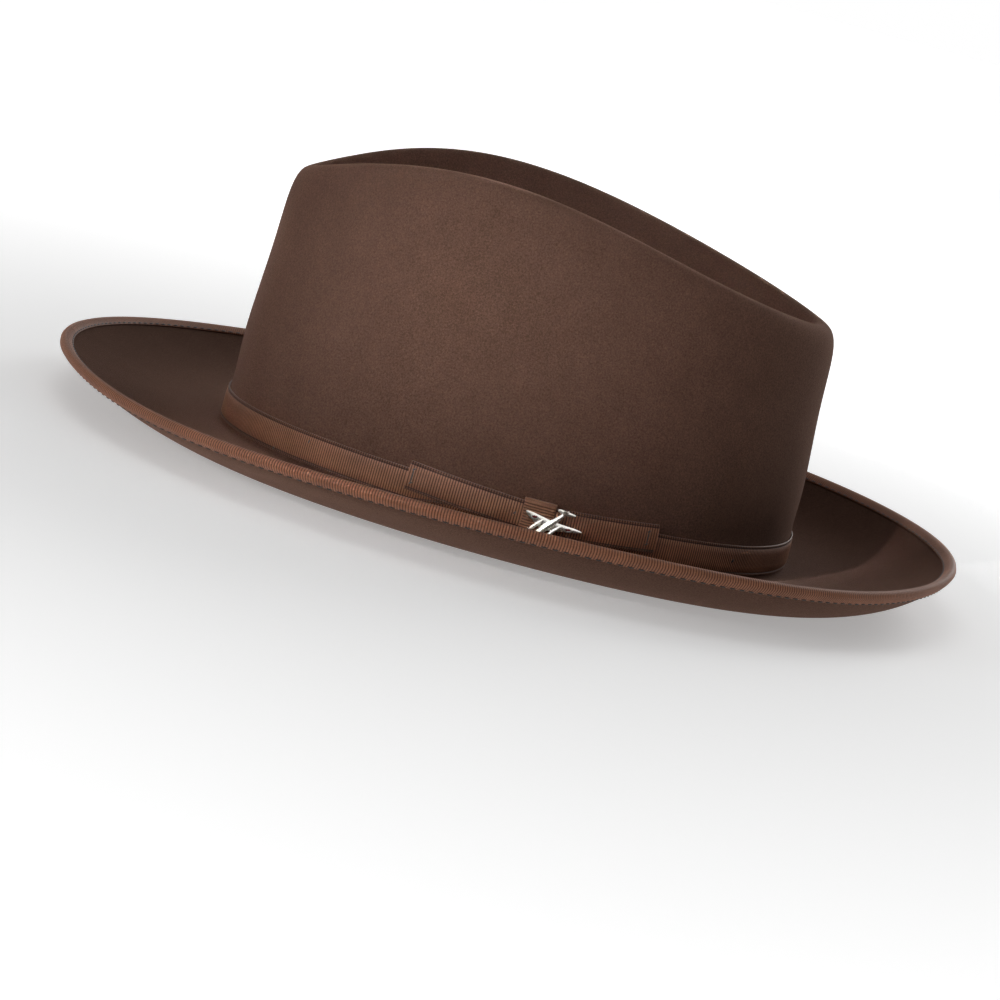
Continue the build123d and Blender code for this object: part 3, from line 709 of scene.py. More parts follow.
def make_felt():
    shares = np.linspace(0.0, 1.0, FELT_POINTS)
    grid = skin(FELT_COLUMNS, shares, 0.0, FELT, 0.4)
    mesh = grid_mesh("felt", grid, wrap_rows=True, wrap_columns=False)
    return place("felt", mesh, FELT_LOOK, "hat", "felt", "felt_body")


def gathers(columns, points, strength):
    """Soft folds that run up the lining, deepest at its lower edge."""
    angle = np.linspace(0.0, TURN, columns, endpoint=False)[:, None]
    fold = 0.5 + 0.5 * np.sin(LINING_GATHERS * angle + 2.0 * np.sin(3 * angle))
    return LINING_GATHER * fold * strength[None, :] * np.ones((columns, points))


def cloth_grid(grid):
    """Place of each point of a grid on its cloth: length along the rows, then along the columns."""
    columns = grid.shape[1]
    along = np.linalg.norm(np.diff(grid[:, columns // 4], axis=0), axis=-1)
    across = np.linalg.norm(np.diff(grid[0], axis=0), axis=-1)
    u = np.concatenate([[0.0], np.cumsum(along)])
    v = np.concatenate([[0.0], np.cumsum(across)])
    return np.stack(np.meshgrid(u, v, indexing="ij"), axis=-1)


def make_lining_side():
    columns, points = 552, 34
    angle = np.linspace(0.0, TURN, columns, endpoint=False)
    base = around(angle, FOLD_HEIGHT)[:, None]
    controls = meridian(angle)
    target = base + LINING_BOTTOM
    bottom = share_at_height(controls, target)
    marks = np.linspace(0.0, 1.0, points)
    top = LINING_SEAM + LINING_SEAM_GAP
    shares = top + (bottom - top) * marks
    depth = FELT + LINING_AIR + gathers(columns, points, marks ** 0.7)
    grid = skin(columns, shares, depth, LINING, 0.1)
    mesh = grid_mesh("satin_side", grid, wrap_rows=True, cloth=cloth_grid(grid))
    piece = place("satin_side", mesh, LINING_LOOK, "hat", "lining", "lining_side")
    return piece


def make_lining_tip():
    shares = np.linspace(0.0, LINING_SEAM - LINING_SEAM_GAP, 50)
    grid = skin(FELT_COLUMNS, shares, FELT + LINING_AIR, LINING, 0.1)
    mesh = grid_mesh("satin_tip", grid, wrap_rows=True, wrap_columns=False, cloth=cloth_grid(grid))
    piece = place("satin_tip", mesh, LINING_LOOK, "hat", "lining", "lining_tip")
    return piece


# ---------------------------------------------------------------- binding, band and bow

def make_binding():
    """Ribbed ribbon folded over the brim's edge, drawn in a little along its stitching."""
    angle, spots = evenly(0.0, TURN, RIB_PITCH, RIB_COLUMNS, EDGE_REACH)
    angle, spots = angle[:-1], spots[:-1]
    ribs = rib(spots)[:, None]
    ones = np.ones((len(angle), 1))
    edge = felt_point(angle, ones)
    tip = unit(edge - felt_point(angle, from_edge(angle, np.array([1.0]))))
    distances = np.array([BINDING_WIDTH - 0.1, BINDING_STITCH, 2.2, 1.5, 0.8])
    sunk = np.array([0.05, 0.14, 0.0, 0.0, 0.0])
    share = from_edge(angle, distances)
    stand = AIR + RIBBON - sunk + RIB_HEIGHT * ribs * np.array([0.3, 0.5, 1.0, 1.0, 1.0])
    above = felt_offset(angle, share, -stand)
    below = felt_offset(angle, share, FELT + stand)
    reach = AIR + RIBBON + RIB_HEIGHT * ribs[..., None]
    round_edge = [
        felt_offset(angle, ones, -(AIR + RIBBON) + 0.1) + tip * (reach * 0.55),
        felt_offset(angle, ones, FELT * 0.25 * ones) + tip * (reach + 0.3),
        felt_offset(angle, ones, FELT * 0.75 * ones) + tip * (reach + 0.3),
        felt_offset(angle, ones, FELT + AIR + RIBBON - 0.1 * ones) + tip * (reach * 0.55),
    ]
    inner_share = from_edge(angle, np.array([BINDING_WIDTH, BINDING_WIDTH / 2]))
    inner_below = felt_offset(angle, inner_share, FELT + AIR)
    inner_above = felt_offset(angle, inner_share, -AIR)
    inner_edge = felt_offset(angle, ones, FELT / 2 * ones) + tip * AIR
    grid = np.concatenate(
        [above, *round_edge, below[:, ::-1], inner_below, inner_edge, inner_above[:, ::-1]], axis=1
    )
    mesh = grid_mesh("edge_binding", grid, wrap_rows=True, rib_values=ribs, cloth=cloth_grid(grid))
    piece = place("edge_binding", mesh, BINDING_LOOK, "hat", "binding", "brim_binding")
    return piece


def make_binding_stitches(name, node, depth, outwards):
    """Dashes of dark thread along the binding."""
    spots, _ = evenly(0.0, TURN, STITCH_PITCH, 1, EDGE_REACH)
    share_of_pitch = STITCH_LENGTH / STITCH_PITCH
    start = spots[:-1]
    end = start + np.diff(spots) * share_of_pitch

    def on_binding(angle, below):
        share = from_edge(angle, np.array([BINDING_STITCH]))
        return felt_offset(angle, share, np.array([[below]]))[:, 0]
    starts, ends = on_binding(start, depth), on_binding(end, depth)
    raised = on_binding(start, depth - outwards)
    mesh = stitch_row(name, starts, ends, unit(raised - starts), THREAD_RADIUS, 0.12)
    return place(name, mesh, THREAD_LOOK, "hat", "thread", node)


def make_band():
    """Ribbed ribbon once round the crown; its front end lies over its start and slants upwards."""
    angle, spots = evenly(BAND_START, BAND_END, RIB_PITCH, RIB_COLUMNS, 0.0)
    ribs = rib(spots)
    climb = np.clip((angle - (BAND_START + TURN - BAND_CLIMB)) / BAND_CLIMB, 0.0, 1.0)
    lift = BAND_END_LIFT * np.maximum(angle - BAND_END_LIFT_START, 0.0)
    depth = -AIR - climb * (RIBBON + RIB_HEIGHT + 0.05)
    bottom, top = BAND_BOTTOM + lift, BAND_TOP + 0.3 * lift
    grid, strengths = ribbon_on_wall(angle, bottom, top, depth, RIBBON, ribs)
    values = section_ribs(ribs, strengths)
    mesh = grid_mesh("band_ribbon", grid, rib_values=values, cloth=cloth_grid(grid))
    piece = place("band_ribbon", mesh, BAND_LOOK, "hat", "band", "hat_band")
    return piece


def half_turn(centre, radius, first, count):
    """Points and outward directions on half a circle in a plane, turning clockwise from first."""
    turn = first - np.linspace(0.0, math.pi, count + 2)[1:-1]
    direction = np.stack([np.cos(turn), np.sin(turn)], axis=-1)
    return np.asarray(centre) + direction * radius, direction


def face_line(start, end, direction, step):
    """Points a step apart on a straight run, with the same outward direction at each."""
    start, end = np.asarray(start, float), np.asarray(end, float)
    count = max(round(np.linalg.norm(end - start) / step), 1)
    points = start + (end - start) * np.linspace(0.0, 1.0, count + 1)[:, None]
    return points, np.broadcast_to(np.asarray(direction, float), points.shape)


def joined(*runs):
    """One path from several runs, with the length gone at each of its points."""
    points = np.concatenate([run[0] for run in runs])
    normals = np.concatenate([run[1] for run in runs])
    steps = np.linalg.norm(np.diff(points, axis=0), axis=1)
    return points, normals, np.concatenate([[0.0], np.cumsum(steps)])


def make_loop(name, node, tip_angle, lift):
    """Flattened loop of ribbon: out on top, round the tip and back underneath."""
    fine = np.linspace(KNOT, tip_angle, 400)
    fold, _ = fold_oval(fine)
    travelled = np.concatenate([[0.0], np.cumsum(np.linalg.norm(np.diff(fold, axis=0), axis=1))])
    length = travelled[-1]
    step = RIB_PITCH / RIB_COLUMNS
    front = LOOP_BACK + LOOP_LAYERS
    radius = LOOP_LAYERS / 2
    points, normals, gone = joined(
        face_line((0.0, front), (length - radius, front), (0.0, 1.0), step),
        half_turn((length - radius, LOOP_BACK + radius), radius, math.pi / 2, 5),
        face_line((length - radius, LOOP_BACK), (0.0, LOOP_BACK), (0.0, -1.0), step * 2),
    )
    reach = np.clip(points[:, 0] / length, 0.0, 1.0)
    puff = LOOP_PUFF * np.sin(math.pi * reach) ** 0.8 * (points[:, 1] > front - 0.01)
    points = points + np.stack([np.zeros_like(puff), puff], axis=-1)
    ribs = rib(gone)
    marks, strengths, groove = across_ribbon(LOOP_WIDTH)
    bottom = (LOOP_BOTTOM + lift * reach)[:, None]
    heights = bottom + LOOP_WIDTH * marks
    cupped = 0.35 * (np.abs(2 * marks - 1) ** 3)[None, :] * (normals[:, 1] > 0)[:, None]

    def face(offsets, at_heights):
        """Face of the ribbon, offset along the path's own outward direction."""
        spot = points[:, None, :] + normals[:, None, :] * offsets[..., None]
        result = np.empty(spot.shape[:2] + (3,))
        for column in range(spot.shape[1]):
            angles = np.interp(spot[:, column, 0], travelled, fine)
            heights_here = at_heights[:, column:column + 1]
            result[:, column] = wall(angles, heights_here, -spot[:, column, 1:2])[:, 0]
        return result
    outer = face(RIBBON / 2 + RIB_HEIGHT * ribs[:, None] * strengths - groove - cupped, heights)
    inner = face(np.full_like(heights, -RIBBON / 2) - cupped, heights)
    middle = np.zeros_like(bottom) - 0.35 * (normals[:, 1:2] > 0)
    top_edge = face(middle, bottom + LOOP_WIDTH)
    bottom_edge = face(middle, bottom)
    grid = closed_section(outer, top_edge, inner, bottom_edge)
    mesh = grid_mesh(name, grid, rib_values=section_ribs(ribs, strengths), cloth=cloth_grid(grid))
    piece = place(name, mesh, BAND_LOOK, "hat", "band", node)
    return piece


def make_knot():
    """Ribbon wound round the middle of the bow, with its ribs turned to lie along the band."""
    radius = (KNOT_FRONT - KNOT_BACK) / 2
    low, high = KNOT_BOTTOM + radius, KNOT_TOP - radius
    step = RIB_PITCH / RIB_COLUMNS
    points, normals, gone = joined(
        face_line((low, KNOT_FRONT), (high, KNOT_FRONT), (0.0, 1.0), step),
        half_turn((high, KNOT_BACK + radius), radius, math.pi / 2, 7),
        face_line((high, KNOT_BACK), (low, KNOT_BACK), (0.0, -1.0), step * 2),
        half_turn((low, KNOT_BACK + radius), radius, -math.pi / 2, 7),
    )
    columns = 17
    across = np.linspace(-1.0, 1.0, columns)
    ribs = rib(gone)
    in_front = normals[:, 1] > 0.5
    pleat = (0.14 * np.sin(across * 9.0 + 0.6) - 0.25 * np.abs(across) ** 5)[:, None] * in_front
    squeeze = 1.0 - 0.1 * np.exp(-((points[:, 0] - 8.0) / 3.5) ** 2) * in_front
    edges = np.where(np.abs(across) > 0.8, 0.45, 1.0)[:, None]

    def face(offset):
        spot = points[None] + normals[None] * offset[..., None]
        result = np.empty(spot.shape[:2] + (3,))
        for column in range(len(across)):
            angles = KNOT + KNOT_SPREAD * across[column] * squeeze
            result[column] = wall(angles, spot[column, :, :1], -spot[column, :, 1:])[:, 0]
        return result.transpose(1, 0, 2)
    outer = face(RIBBON / 2 + RIB_HEIGHT * ribs[None] * edges + pleat)
    inner = face(-RIBBON / 2 + pleat)
    grid = np.concatenate([outer, inner[:, ::-1]], axis=1)
    cloth = cloth_grid(grid)
    mesh = grid_mesh("bow_wrap", grid, wrap_rows=True, rib_values=ribs[:, None], cloth=cloth)
    piece = place("bow_wrap", mesh, BAND_LOOK, "hat", "band", "bow_knot")
    return piece


def wall_spots(places, depth):
    """Points by the wall and outward directions there, for places as (degrees, height)."""
    angles = np.radians([degrees for degrees, _ in places])
    heights = np.array([[height] for _, height in places])
    _, out = fold_oval(angles)
    return wall(angles, heights, np.full_like(heights, depth))[:, 0], out


TACK_RADIUS = 0.26


def make_tacks(name, node, ends, depth, arch):
    """Short threads, each between two places on the wall."""
    starts, out = wall_spots([first for first, _ in ends], depth)
    finishes, _ = wall_spots([second for _, second in ends], depth)
    mesh = stitch_row(name, starts, finishes, out, TACK_RADIUS, arch)
    return place(name, mesh, THREAD_LOOK, "hat", "thread", node)


def make_band_tacks():
    ends = [((degrees, height - 0.7), (degrees + 0.25, height + 0.7)) for degrees, height in BAND_TACKS]
    return make_tacks("band_stitches", "band_tacks", ends, -AIR - RIBBON - RIB_HEIGHT, 0.1)


def make_bow_tacks():
    ends = []
    for degrees, low, high in LOOP_TACKS:
        ends.append(((degrees, low), (degrees, high)))
        for height in (low, high):
            ends.append(((degrees - 0.35, height - 0.4), (degrees + 0.35, height + 0.4)))
    degrees, height = KNOT_TACK
    ends.append(((degrees - 0.3, height - 0.5), (degrees + 0.3, height + 0.5)))
    depth = -(LOOP_BACK + LOOP_LAYERS + RIBBON / 2 + RIB_HEIGHT + 0.1)
    return make_tacks("bow_stitches", "bow_tacks", ends, depth, 0.12)


# ---------------------------------------------------------------- aeroplane pin

def pin_space():
    """Matrix from the pin's own millimetres (back, up, out of the hat) to metres in the frame."""
    joint = frame["joints"][0]
    out = Vector(joint["axis"]).normalized()
    back = Vector((0.0, 0.0, 1.0)).cross(out)
    up = out.cross(back)
    origin = Vector(joint["pos_m"]) + out * (PIN_STANDOFF * MM)
    turn = Matrix((back, up, out)).transposed().to_4x4()
    return Matrix.Translation(origin) @ turn @ Matrix.Scale(MM, 4)


def pin_axes():
    nose = np.array([math.cos(PIN_NOSE_TILT), math.sin(PIN_NOSE_TILT), 0.0])
    wing = np.array([math.cos(PIN_WING_TILT), math.sin(PIN_WING_TILT), 0.0])
    return nose, wing, np.array([0.0, 0.0, 1.0])


def pin_loft(build, centres, ways, sizes, count=16):
    """Closed body through ellipses: each has a centre, two directions and two half sizes."""
    rings = []
    for centre, (first, second), (wide, tall) in zip(centres, ways, sizes):
        ring = []
        for index in range(count):
            turn = TURN * index / count
            point = centre + first * (wide * math.cos(turn)) + second * (tall * math.sin(turn))
            ring.append(build.verts.new(point))
        rings.append(ring)
    for ring, following in zip(rings, rings[1:]):
        for index in range(count):
            after = (index + 1) % count
            build.faces.new([ring[index], ring[after], following[after], following[index]])
    build.faces.new(rings[0])
    build.faces.new(rings[-1])


def pin_body(build, start, end, aside, height, profile):
    """Round body along the nose direction; profile lists (part of its length, radius)."""
    nose, wing, out = pin_axes()
    side = np.cross(out, nose)
    middle = wing * aside + out * height
    centres = [nose * (start + (end - start) * part) + middle for part, _ in profile]
    sizes = [(radius, radius) for _, radius in profile]
    pin_loft(build, centres, [(side, out)] * len(profile), sizes)


def pin_wing(build, root_ahead, root_chord, tip_ahead, tip_chord, span, height, thickness, direction):
    """Lens-shaped wing from the fuselage to a rounded tip."""
    nose, _, out = pin_axes()
    centres, sizes = [], []
    for part in (0.0, 0.25, 0.5, 0.75, 0.9, 0.97, 1.0):
        narrow = 1.0 if part < 0.9 else (0.8 if part < 0.97 else (0.5 if part < 1.0 else 0.12))
        chord = (root_chord + (tip_chord - root_chord) * part) * narrow
        ahead = root_ahead + (tip_ahead - root_ahead) * part
        centres.append(nose * ahead + direction * (span * part) + out * height)
        sizes.append((chord / 2, thickness / 2 * (1.0 - 0.45 * part)))
    pin_loft(build, centres, [(nose, out)] * len(centres), sizes)


def enamel_centres():
    nose, wing, out = pin_axes()
    return [wing * (side * 6.0) - nose * 1.05 + out * 1.16 for side in (-1, 1)]


def make_plane():
    """Twin-engined aeroplane cast in one piece, drawn as low relief seen from the side."""
    nose, wing, out = pin_axes()
    build = bmesh.new()
    shape = [
        (0.0, 0.35), (0.03, 0.7), (0.1, 1.02), (0.3, 1.2), (0.5, 1.12), (0.75, 0.8), (0.93, 0.48),
        (1.0, 0.2),
    ]
    pin_body(build, NOSE_REACH, -TAIL_REACH, 0.0, 1.15, shape)
    canopy = [(0.0, 0.1), (0.2, 0.42), (0.5, 0.5), (0.8, 0.36), (1.0, 0.1)]
    pin_body(build, 5.0, 2.2, 0.0, 2.0, canopy)
    for side in (-1, 1):
        pin_wing(build, 0.5, 5.0, -2.1, 1.3, WING_HALF_SPAN, 0.95, 1.0, wing * side)
        pin_wing(build, -TAIL_REACH + 1.3, 2.0, -TAIL_REACH + 0.9, 1.1, 3.1, 1.1, 0.7, wing * side)
        engine = [(0.0, 0.4), (0.08, 0.58), (0.35, 0.64), (0.7, 0.5), (1.0, 0.2)]
        pin_body(build, 4.1, -1.2, side * ENGINE_PLACE, 1.25, engine)
        spinner = [(0.0, 0.08), (0.5, 0.22), (1.0, 0.3)]
        pin_body(build, 4.75, 4.0, side * ENGINE_PLACE, 1.25, spinner)
        hub = nose * 4.45 + wing * (side * ENGINE_PLACE) + out * 1.25
        blade_way = unit(np.cross(nose, out) * 0.75 + out * 0.5)
        stations = [hub + blade_way * reach for reach in (-1.1, -0.6, 0.0, 0.6, 1.1)]
        blades = [(0.12, 0.1), (0.24, 0.16), (0.2, 0.16), (0.24, 0.16), (0.12, 0.1)]
        pin_loft(build, stations, [(np.cross(blade_way, nose), nose)] * 5, blades, 10)
    fin_way = unit(wing * -0.55 + out * 0.5 - nose * 0.25)
    fin_root = nose * (-TAIL_REACH + 1.3) + out * 1.4
    pin_loft(
        build, [fin_root, fin_root + fin_way * 1.2, fin_root + fin_way * 2.0, fin_root + fin_way * 2.3],
        [(nose, np.cross(nose, fin_way))] * 4, [(1.1, 0.32), (0.8, 0.28), (0.55, 0.24), (0.2, 0.15)],
    )
    for centre in enamel_centres():
        pin_rim(build, centre)
    pad = [np.zeros(3), out * 0.5, out * 1.0]
    pin_loft(build, pad, [(nose, np.cross(out, nose))] * 3, [(1.6, 1.6), (1.6, 1.6), (1.1, 1.1)], 24)
    bmesh.ops.recalc_face_normals(build, faces=build.faces)
    mesh = bpy.data.meshes.new("plane")
    build.to_mesh(mesh)
    build.free()
    plane = place("plane", mesh, SILVER_LOOK, "pin", "pin_metal", "pin_plane")
    fused = plane.modifiers.new("cast", "REMESH")
    fused.mode = "VOXEL"
    fused.voxel_size = 0.085
    fused.use_smooth_shade = True
    softened = plane.modifiers.new("softened", "SMOOTH")
    softened.factor = 0.5
    softened.iterations = 4
    settle(plane)
    plane.data.transform(pin_space())
    return plane


def pin_rim(build, centre):
    """Raised line round one enamel spot."""
    nose, wing, out = pin_axes()
    count, sides = 40, 8
    rings = []
    for index in range(count):
        turn = TURN * index / count
        spoke = wing * (1.25 * math.cos(turn)) + nose * (0.72 * math.sin(turn))
        ring = []
        for side in range(sides):
            lean = TURN * side / sides
            point = centre + spoke * (1 + 0.14 * math.cos(lean)) + out * (0.2 * math.sin(lean))
            ring.append(build.verts.new(point))
        rings.append(ring)
    for index, ring in enumerate(rings):
        following = rings[(index + 1) % count]
        for side in range(sides):
            after = (side + 1) % sides
            build.faces.new([ring[side], ring[after], following[after], following[side]])


def make_enamel():
    """Domed enamel let in on top of each wing."""
    nose, wing, out = pin_axes()
    build = bmesh.new()
    for centre in enamel_centres():
        levels = [(-0.25, 1.0), (0.02, 1.0), (0.1, 0.9), (0.17, 0.65), (0.2, 0.3), (0.205, 0.05)]
        centres = [centre + out * level for level, _ in levels]
        sizes = [(1.15 * size, 0.64 * size) for _, size in levels]
        pin_loft(build, centres, [(wing, nose)] * len(levels), sizes, 32)
    bmesh.ops.recalc_face_normals(build, faces=build.faces)
    mesh = bpy.data.meshes.new("plane_enamel")
    build.to_mesh(mesh)
    build.free()
    mesh.shade_smooth()
    mesh.transform(pin_space())
    return place("plane_enamel", mesh, ENAMEL_LOOK, "pin", "enamel", "pin_enamel")


def settle(piece):
    """Replace a piece's mesh by what its modifiers make of it."""
    bpy.context.view_layer.update()
    graph = bpy.context.evaluated_depsgraph_get()
    mesh = bpy.data.meshes.new_from_object(piece.evaluated_get(graph))
    piece.modifiers.clear()
    piece.data = mesh


# ---------------------------------------------------------------- sweatband and what goes with it

def table_value(height, table):
    return np.interp(height, [row[0] for row in table], [row[1] for row in table])


def leather_depth(angle, height):
    """Depth of the leather's outer side: a roll over the reed, and room for the pin's clutch."""
    away = ((angle - CLUTCH_ANGLE + math.pi) % TURN - math.pi) / CLUTCH_BULGE_SPREAD
    bulge = CLUTCH_BULGE * np.exp(-(away ** 2))[:, None] * table_value(height, CLUTCH_BULGE_HEIGHTS)
    return SWEATBAND_DEPTH + np.hypot(table_value(height, SWEATBAND_ROLL), bulge)


def make_leather():
    angle = np.linspace(0.0, TURN, 480, endpoint=False)
    heights = np.concatenate([[-0.2, 0.6, 1.2, 2.0, 3.2, 4.5, 6.5, 9.0], np.linspace(12.0, 37.8, 9)])
    top = 1.0 + 0.008 * np.sin(3 * angle + 1.0) + 0.005 * np.sin(8 * angle)
    height = heights[None, :] * top[:, None]
    slack = 0.35 * np.sin(6 * angle + 0.7)[:, None] * np.clip((height - 14.0) / 20.0, 0.0, 1.0) ** 2
    depth = leather_depth(angle, height) + slack + 0.35
    pinched = 0.18 * np.exp(-(((height - LEATHER_STITCH_HEIGHT) / 0.7) ** 2))
    outer = wall(angle, height, depth)
    inner = wall(angle, height, depth + LEATHER - 0.35 - pinched)
    top_edge = wall(angle, height[:, -1:] + 0.2, depth[:, -1:] + LEATHER / 2 - 0.2)
    bottom_edge = wall(angle, height[:, :1] - 0.1, depth[:, :1] + LEATHER / 2 - 0.2)
    grid = closed_section(outer, top_edge, inner, bottom_edge)
    mesh = grid_mesh("leather_band", grid, wrap_rows=True, cloth=cloth_grid(grid))
    piece = place("leather_band", mesh, LEATHER_LOOK, "hat", "leather", "sweatband")
    return piece


def make_leather_stitches():
    """Small stitches that hold the leather to the reed tape."""
    spots, _ = evenly(0.0, TURN, LEATHER_STITCH_PITCH, 1, -6.0)
    share_of_pitch = LEATHER_STITCH_LENGTH / LEATHER_STITCH_PITCH
    start, end = spots[:-1], spots[:-1] + np.diff(spots) * share_of_pitch

    def on_leather(angle, extra):
        heights = np.full((len(angle), 1), LEATHER_STITCH_HEIGHT)
        return wall(angle, heights, leather_depth(angle, heights) + LEATHER - 0.1 + extra)[:, 0]
    starts, ends = on_leather(start, 0.0), on_leather(end, 0.0)
    inward = unit(on_leather(start, 1.0) - starts)
    mesh = stitch_row("leather_stitches", starts, ends, inward, 0.2, 0.14)
    look = LEATHER_THREAD_LOOK
    return place("leather_stitches", mesh, look, "hat", "leather_thread", "sweatband_thread")


def make_reed_tape():
    """Thin woven tape folded under the reed, sewn to the felt outside it and the leather inside."""
    angle = np.linspace(0.0, TURN, 420, endpoint=False)
    near, far = REED_DEPTH - TAPE_ROOM, REED_DEPTH + TAPE_ROOM
    turn = np.linspace(math.pi, TURN, 9)
    bend = [(REED_HEIGHT + TAPE_ROOM * math.sin(t), REED_DEPTH + TAPE_ROOM * math.cos(t)) for t in turn]
    thick = TAPE_ROOM + TAPE
    outside = [(REED_HEIGHT + thick * math.sin(t), REED_DEPTH + thick * math.cos(t)) for t in turn[::-1]]
    inner_top = REED_HEIGHT + 0.9
    path = [(TAPE_TOP, near), *bend, (inner_top, far), (inner_top, far + TAPE), *outside]
    path.append((TAPE_TOP, near - TAPE))
    heights, depths = np.array(path).T
    grid = wall(angle, heights, depths[None, :])
    mesh = grid_mesh("reed_fold", grid, wrap_rows=True, cloth=cloth_grid(grid))
    piece = place("reed_fold", mesh, TAPE_LOOK, "hat", "tape", "reed_tape")
    return piece


def make_patch(name, node, slot, look, first, last, bottom, top, depth, thickness, curl=0.0):
    """Small rectangle of tape or card behind the leather."""
    angle = np.linspace(first, last, 40)
    lifted = depth + curl * np.abs(np.linspace(-1.0, 1.0, 40)) ** 3
    grid, _ = ribbon_on_wall(angle, bottom, top, lifted, thickness)
    mesh = grid_mesh(name, grid, cloth=cloth_grid(grid))
    return place(name, mesh, look, "hat", slot, node)


def make_small_bow():
    """Small satin bow over the leather's joint at the back: two flat loops and a knot."""
    build = []
    half = math.radians(5.5)
    depth = SWEATBAND_DEPTH + LEATHER + 0.15
    marks = np.linspace(-1.0, 1.0, 9)
    for side in (-1, 1):
        spread = np.linspace(0.08, 1.0, 22)
        angle = math.pi + side * half * spread
        flare = 1.0 + 2.4 * spread ** 0.8 * (1 - 0.12 * spread ** 6)
        heights = 33.0 + flare[:, None] * marks
        swell = 0.35 + 0.75 * np.sin(math.pi * spread ** 0.8)[:, None] * (1 - marks[None, :] ** 2)
        outer = wall(angle, heights, depth + 0.25 + swell)
        inner = wall(angle, heights, np.full_like(heights, depth))
        middle = np.full((len(angle), 1), depth + 0.3)
        top_edge = wall(angle, heights[:, -1:] + 0.1, middle)
        bottom_edge = wall(angle, heights[:, :1] - 0.1, middle)
        build.append(closed_section(outer, top_edge, inner, bottom_edge))
    knot_angle = math.pi + np.linspace(-1.0, 1.0, 11) * math.radians(1.0)
    crown = 0.5 * (1 - np.linspace(-1.0, 1.0, 11) ** 2)
    build.append(ribbon_on_wall(knot_angle, 31.2, 34.8, depth + 1.9 + crown, 1.7)[0])
    meshes = [grid_mesh("bow_part", grid, cloth=cloth_grid(grid)) for grid in build]
    merged = bmesh.new()
    for mesh in meshes:
        merged.from_mesh(mesh)
        bpy.data.meshes.remove(mesh)
    mesh = bpy.data.meshes.new("leather_bow")
    merged.to_mesh(mesh)
    merged.free()
    mesh.shade_smooth()
    return place("leather_bow", mesh, SMALL_BOW_LOOK, "hat", "small_bow", "sweatband_bow")


def dress_cad_nodes():
    """Finishes for the hard pieces whose CAD shape is shown as it is."""
    looks = {
        "pin_post": SILVER_LOOK, "pin_clutch": BRASS_LOOK,
        "sweatband_reed": PLASTIC_LOOK, "reed_sleeve": STEEL_LOOK,
    }
    for node, look in looks.items():
        mesh = frame["nodes"][node].data
        mesh.materials.clear()
        mesh.materials.append(look)


# ---------------------------------------------------------------- stage

VIEW_AZIMUTH = math.radians(88.15)
VIEW_ELEVATION = math.radians(8.815)
VIEW_ROLL = math.radians(15.336)
VIEW_DISTANCE = 1.202
VIEW_TARGET = (0.0, 0.0013, 0.0475)
AIM_LEFT = 0.01283
AIM_DOWN = 0.04679
LENS = 121.31


def make_camera():
    """Long lens, level with the brim on the wearer's left, rolled as the hat is worn."""
    sine, cosine = math.sin(VIEW_AZIMUTH), math.cos(VIEW_AZIMUTH)
    level = math.cos(VIEW_ELEVATION)
    back = Vector((sine * level, -cosine * level, math.sin(VIEW_ELEVATION)))
    right = Vector((cosine, sine, 0.0))
    up = back.cross(right)
    rolled_right = math.cos(VIEW_ROLL) * right + math.sin(VIEW_ROLL) * up
    rolled_up = math.cos(VIEW_ROLL) * up - math.sin(VIEW_ROLL) * right
    target = Vector(VIEW_TARGET)
    eye = target + back * VIEW_DISTANCE
    aim = target - rolled_right * AIM_LEFT - rolled_up * AIM_DOWN
    away = (eye - aim).normalized()
    side = rolled_up.cross(away).normalized()
    head = away.cross(side)
    data = bpy.data.cameras.new("camera")
    data.lens = LENS
    data.sensor_width = 36.0
    data.clip_start = 0.05
    camera = bpy.data.objects.new("camera", data)
    camera.matrix_world = Matrix.Translation(eye) @ Matrix((side, head, away)).transposed().to_4x4()
    bpy.context.scene.collection.objects.link(camera)
    bpy.context.scene.camera = camera


FLOOR_GLOW = {"From Min": 0.1, "From Max": 0.6, "To Min": 0.3, "To Max": 0.8}


def make_floor():
    """Wide pale floor that glows, less under the hat, and can be looked through from below."""
    mesh = bpy.data.meshes.new("floor")
    reach = 6.0
    ways = [(-1, -1), (1, -1), (1, 1), (-1, 1)]
    corners = [(reach * across, reach * along, -0.0002) for across, along in ways]
    mesh.from_pydata(corners, [], [(0, 1, 2, 3)])
    material, tree, shader = new_material("floor", (0.86, 0.86, 0.86), 0.7)
    shader.inputs["Emission Color"].default_value = (1.0, 1.0, 1.0, 1.0)
    away = tree.nodes.new("ShaderNodeVectorMath")
    away.operation = "LENGTH"
    tree.links.new(object_place(tree), away.inputs[0])
    glow = tree.nodes.new("ShaderNodeMapRange")
    for socket, value in FLOOR_GLOW.items():
        glow.inputs[socket].default_value = value
    tree.links.new(away.outputs["Value"], glow.inputs["Value"])
    feed(shader, "Emission Strength", glow.outputs["Result"])
    clear = tree.nodes.new("ShaderNodeBsdfTransparent")
    choice = tree.nodes.new("ShaderNodeMixShader")
    geometry = tree.nodes.new("ShaderNodeNewGeometry")
    tree.links.new(geometry.outputs["Backfacing"], choice.inputs[0])
    tree.links.new(shader.outputs["BSDF"], choice.inputs[1])
    tree.links.new(clear.outputs["BSDF"], choice.inputs[2])
    tree.links.new(choice.outputs["Shader"], tree.nodes["Material Output"].inputs["Surface"])
    mesh.materials.append(material)
    floor = bpy.data.objects.new("floor", mesh)
    bpy.context.scene.collection.objects.link(floor)


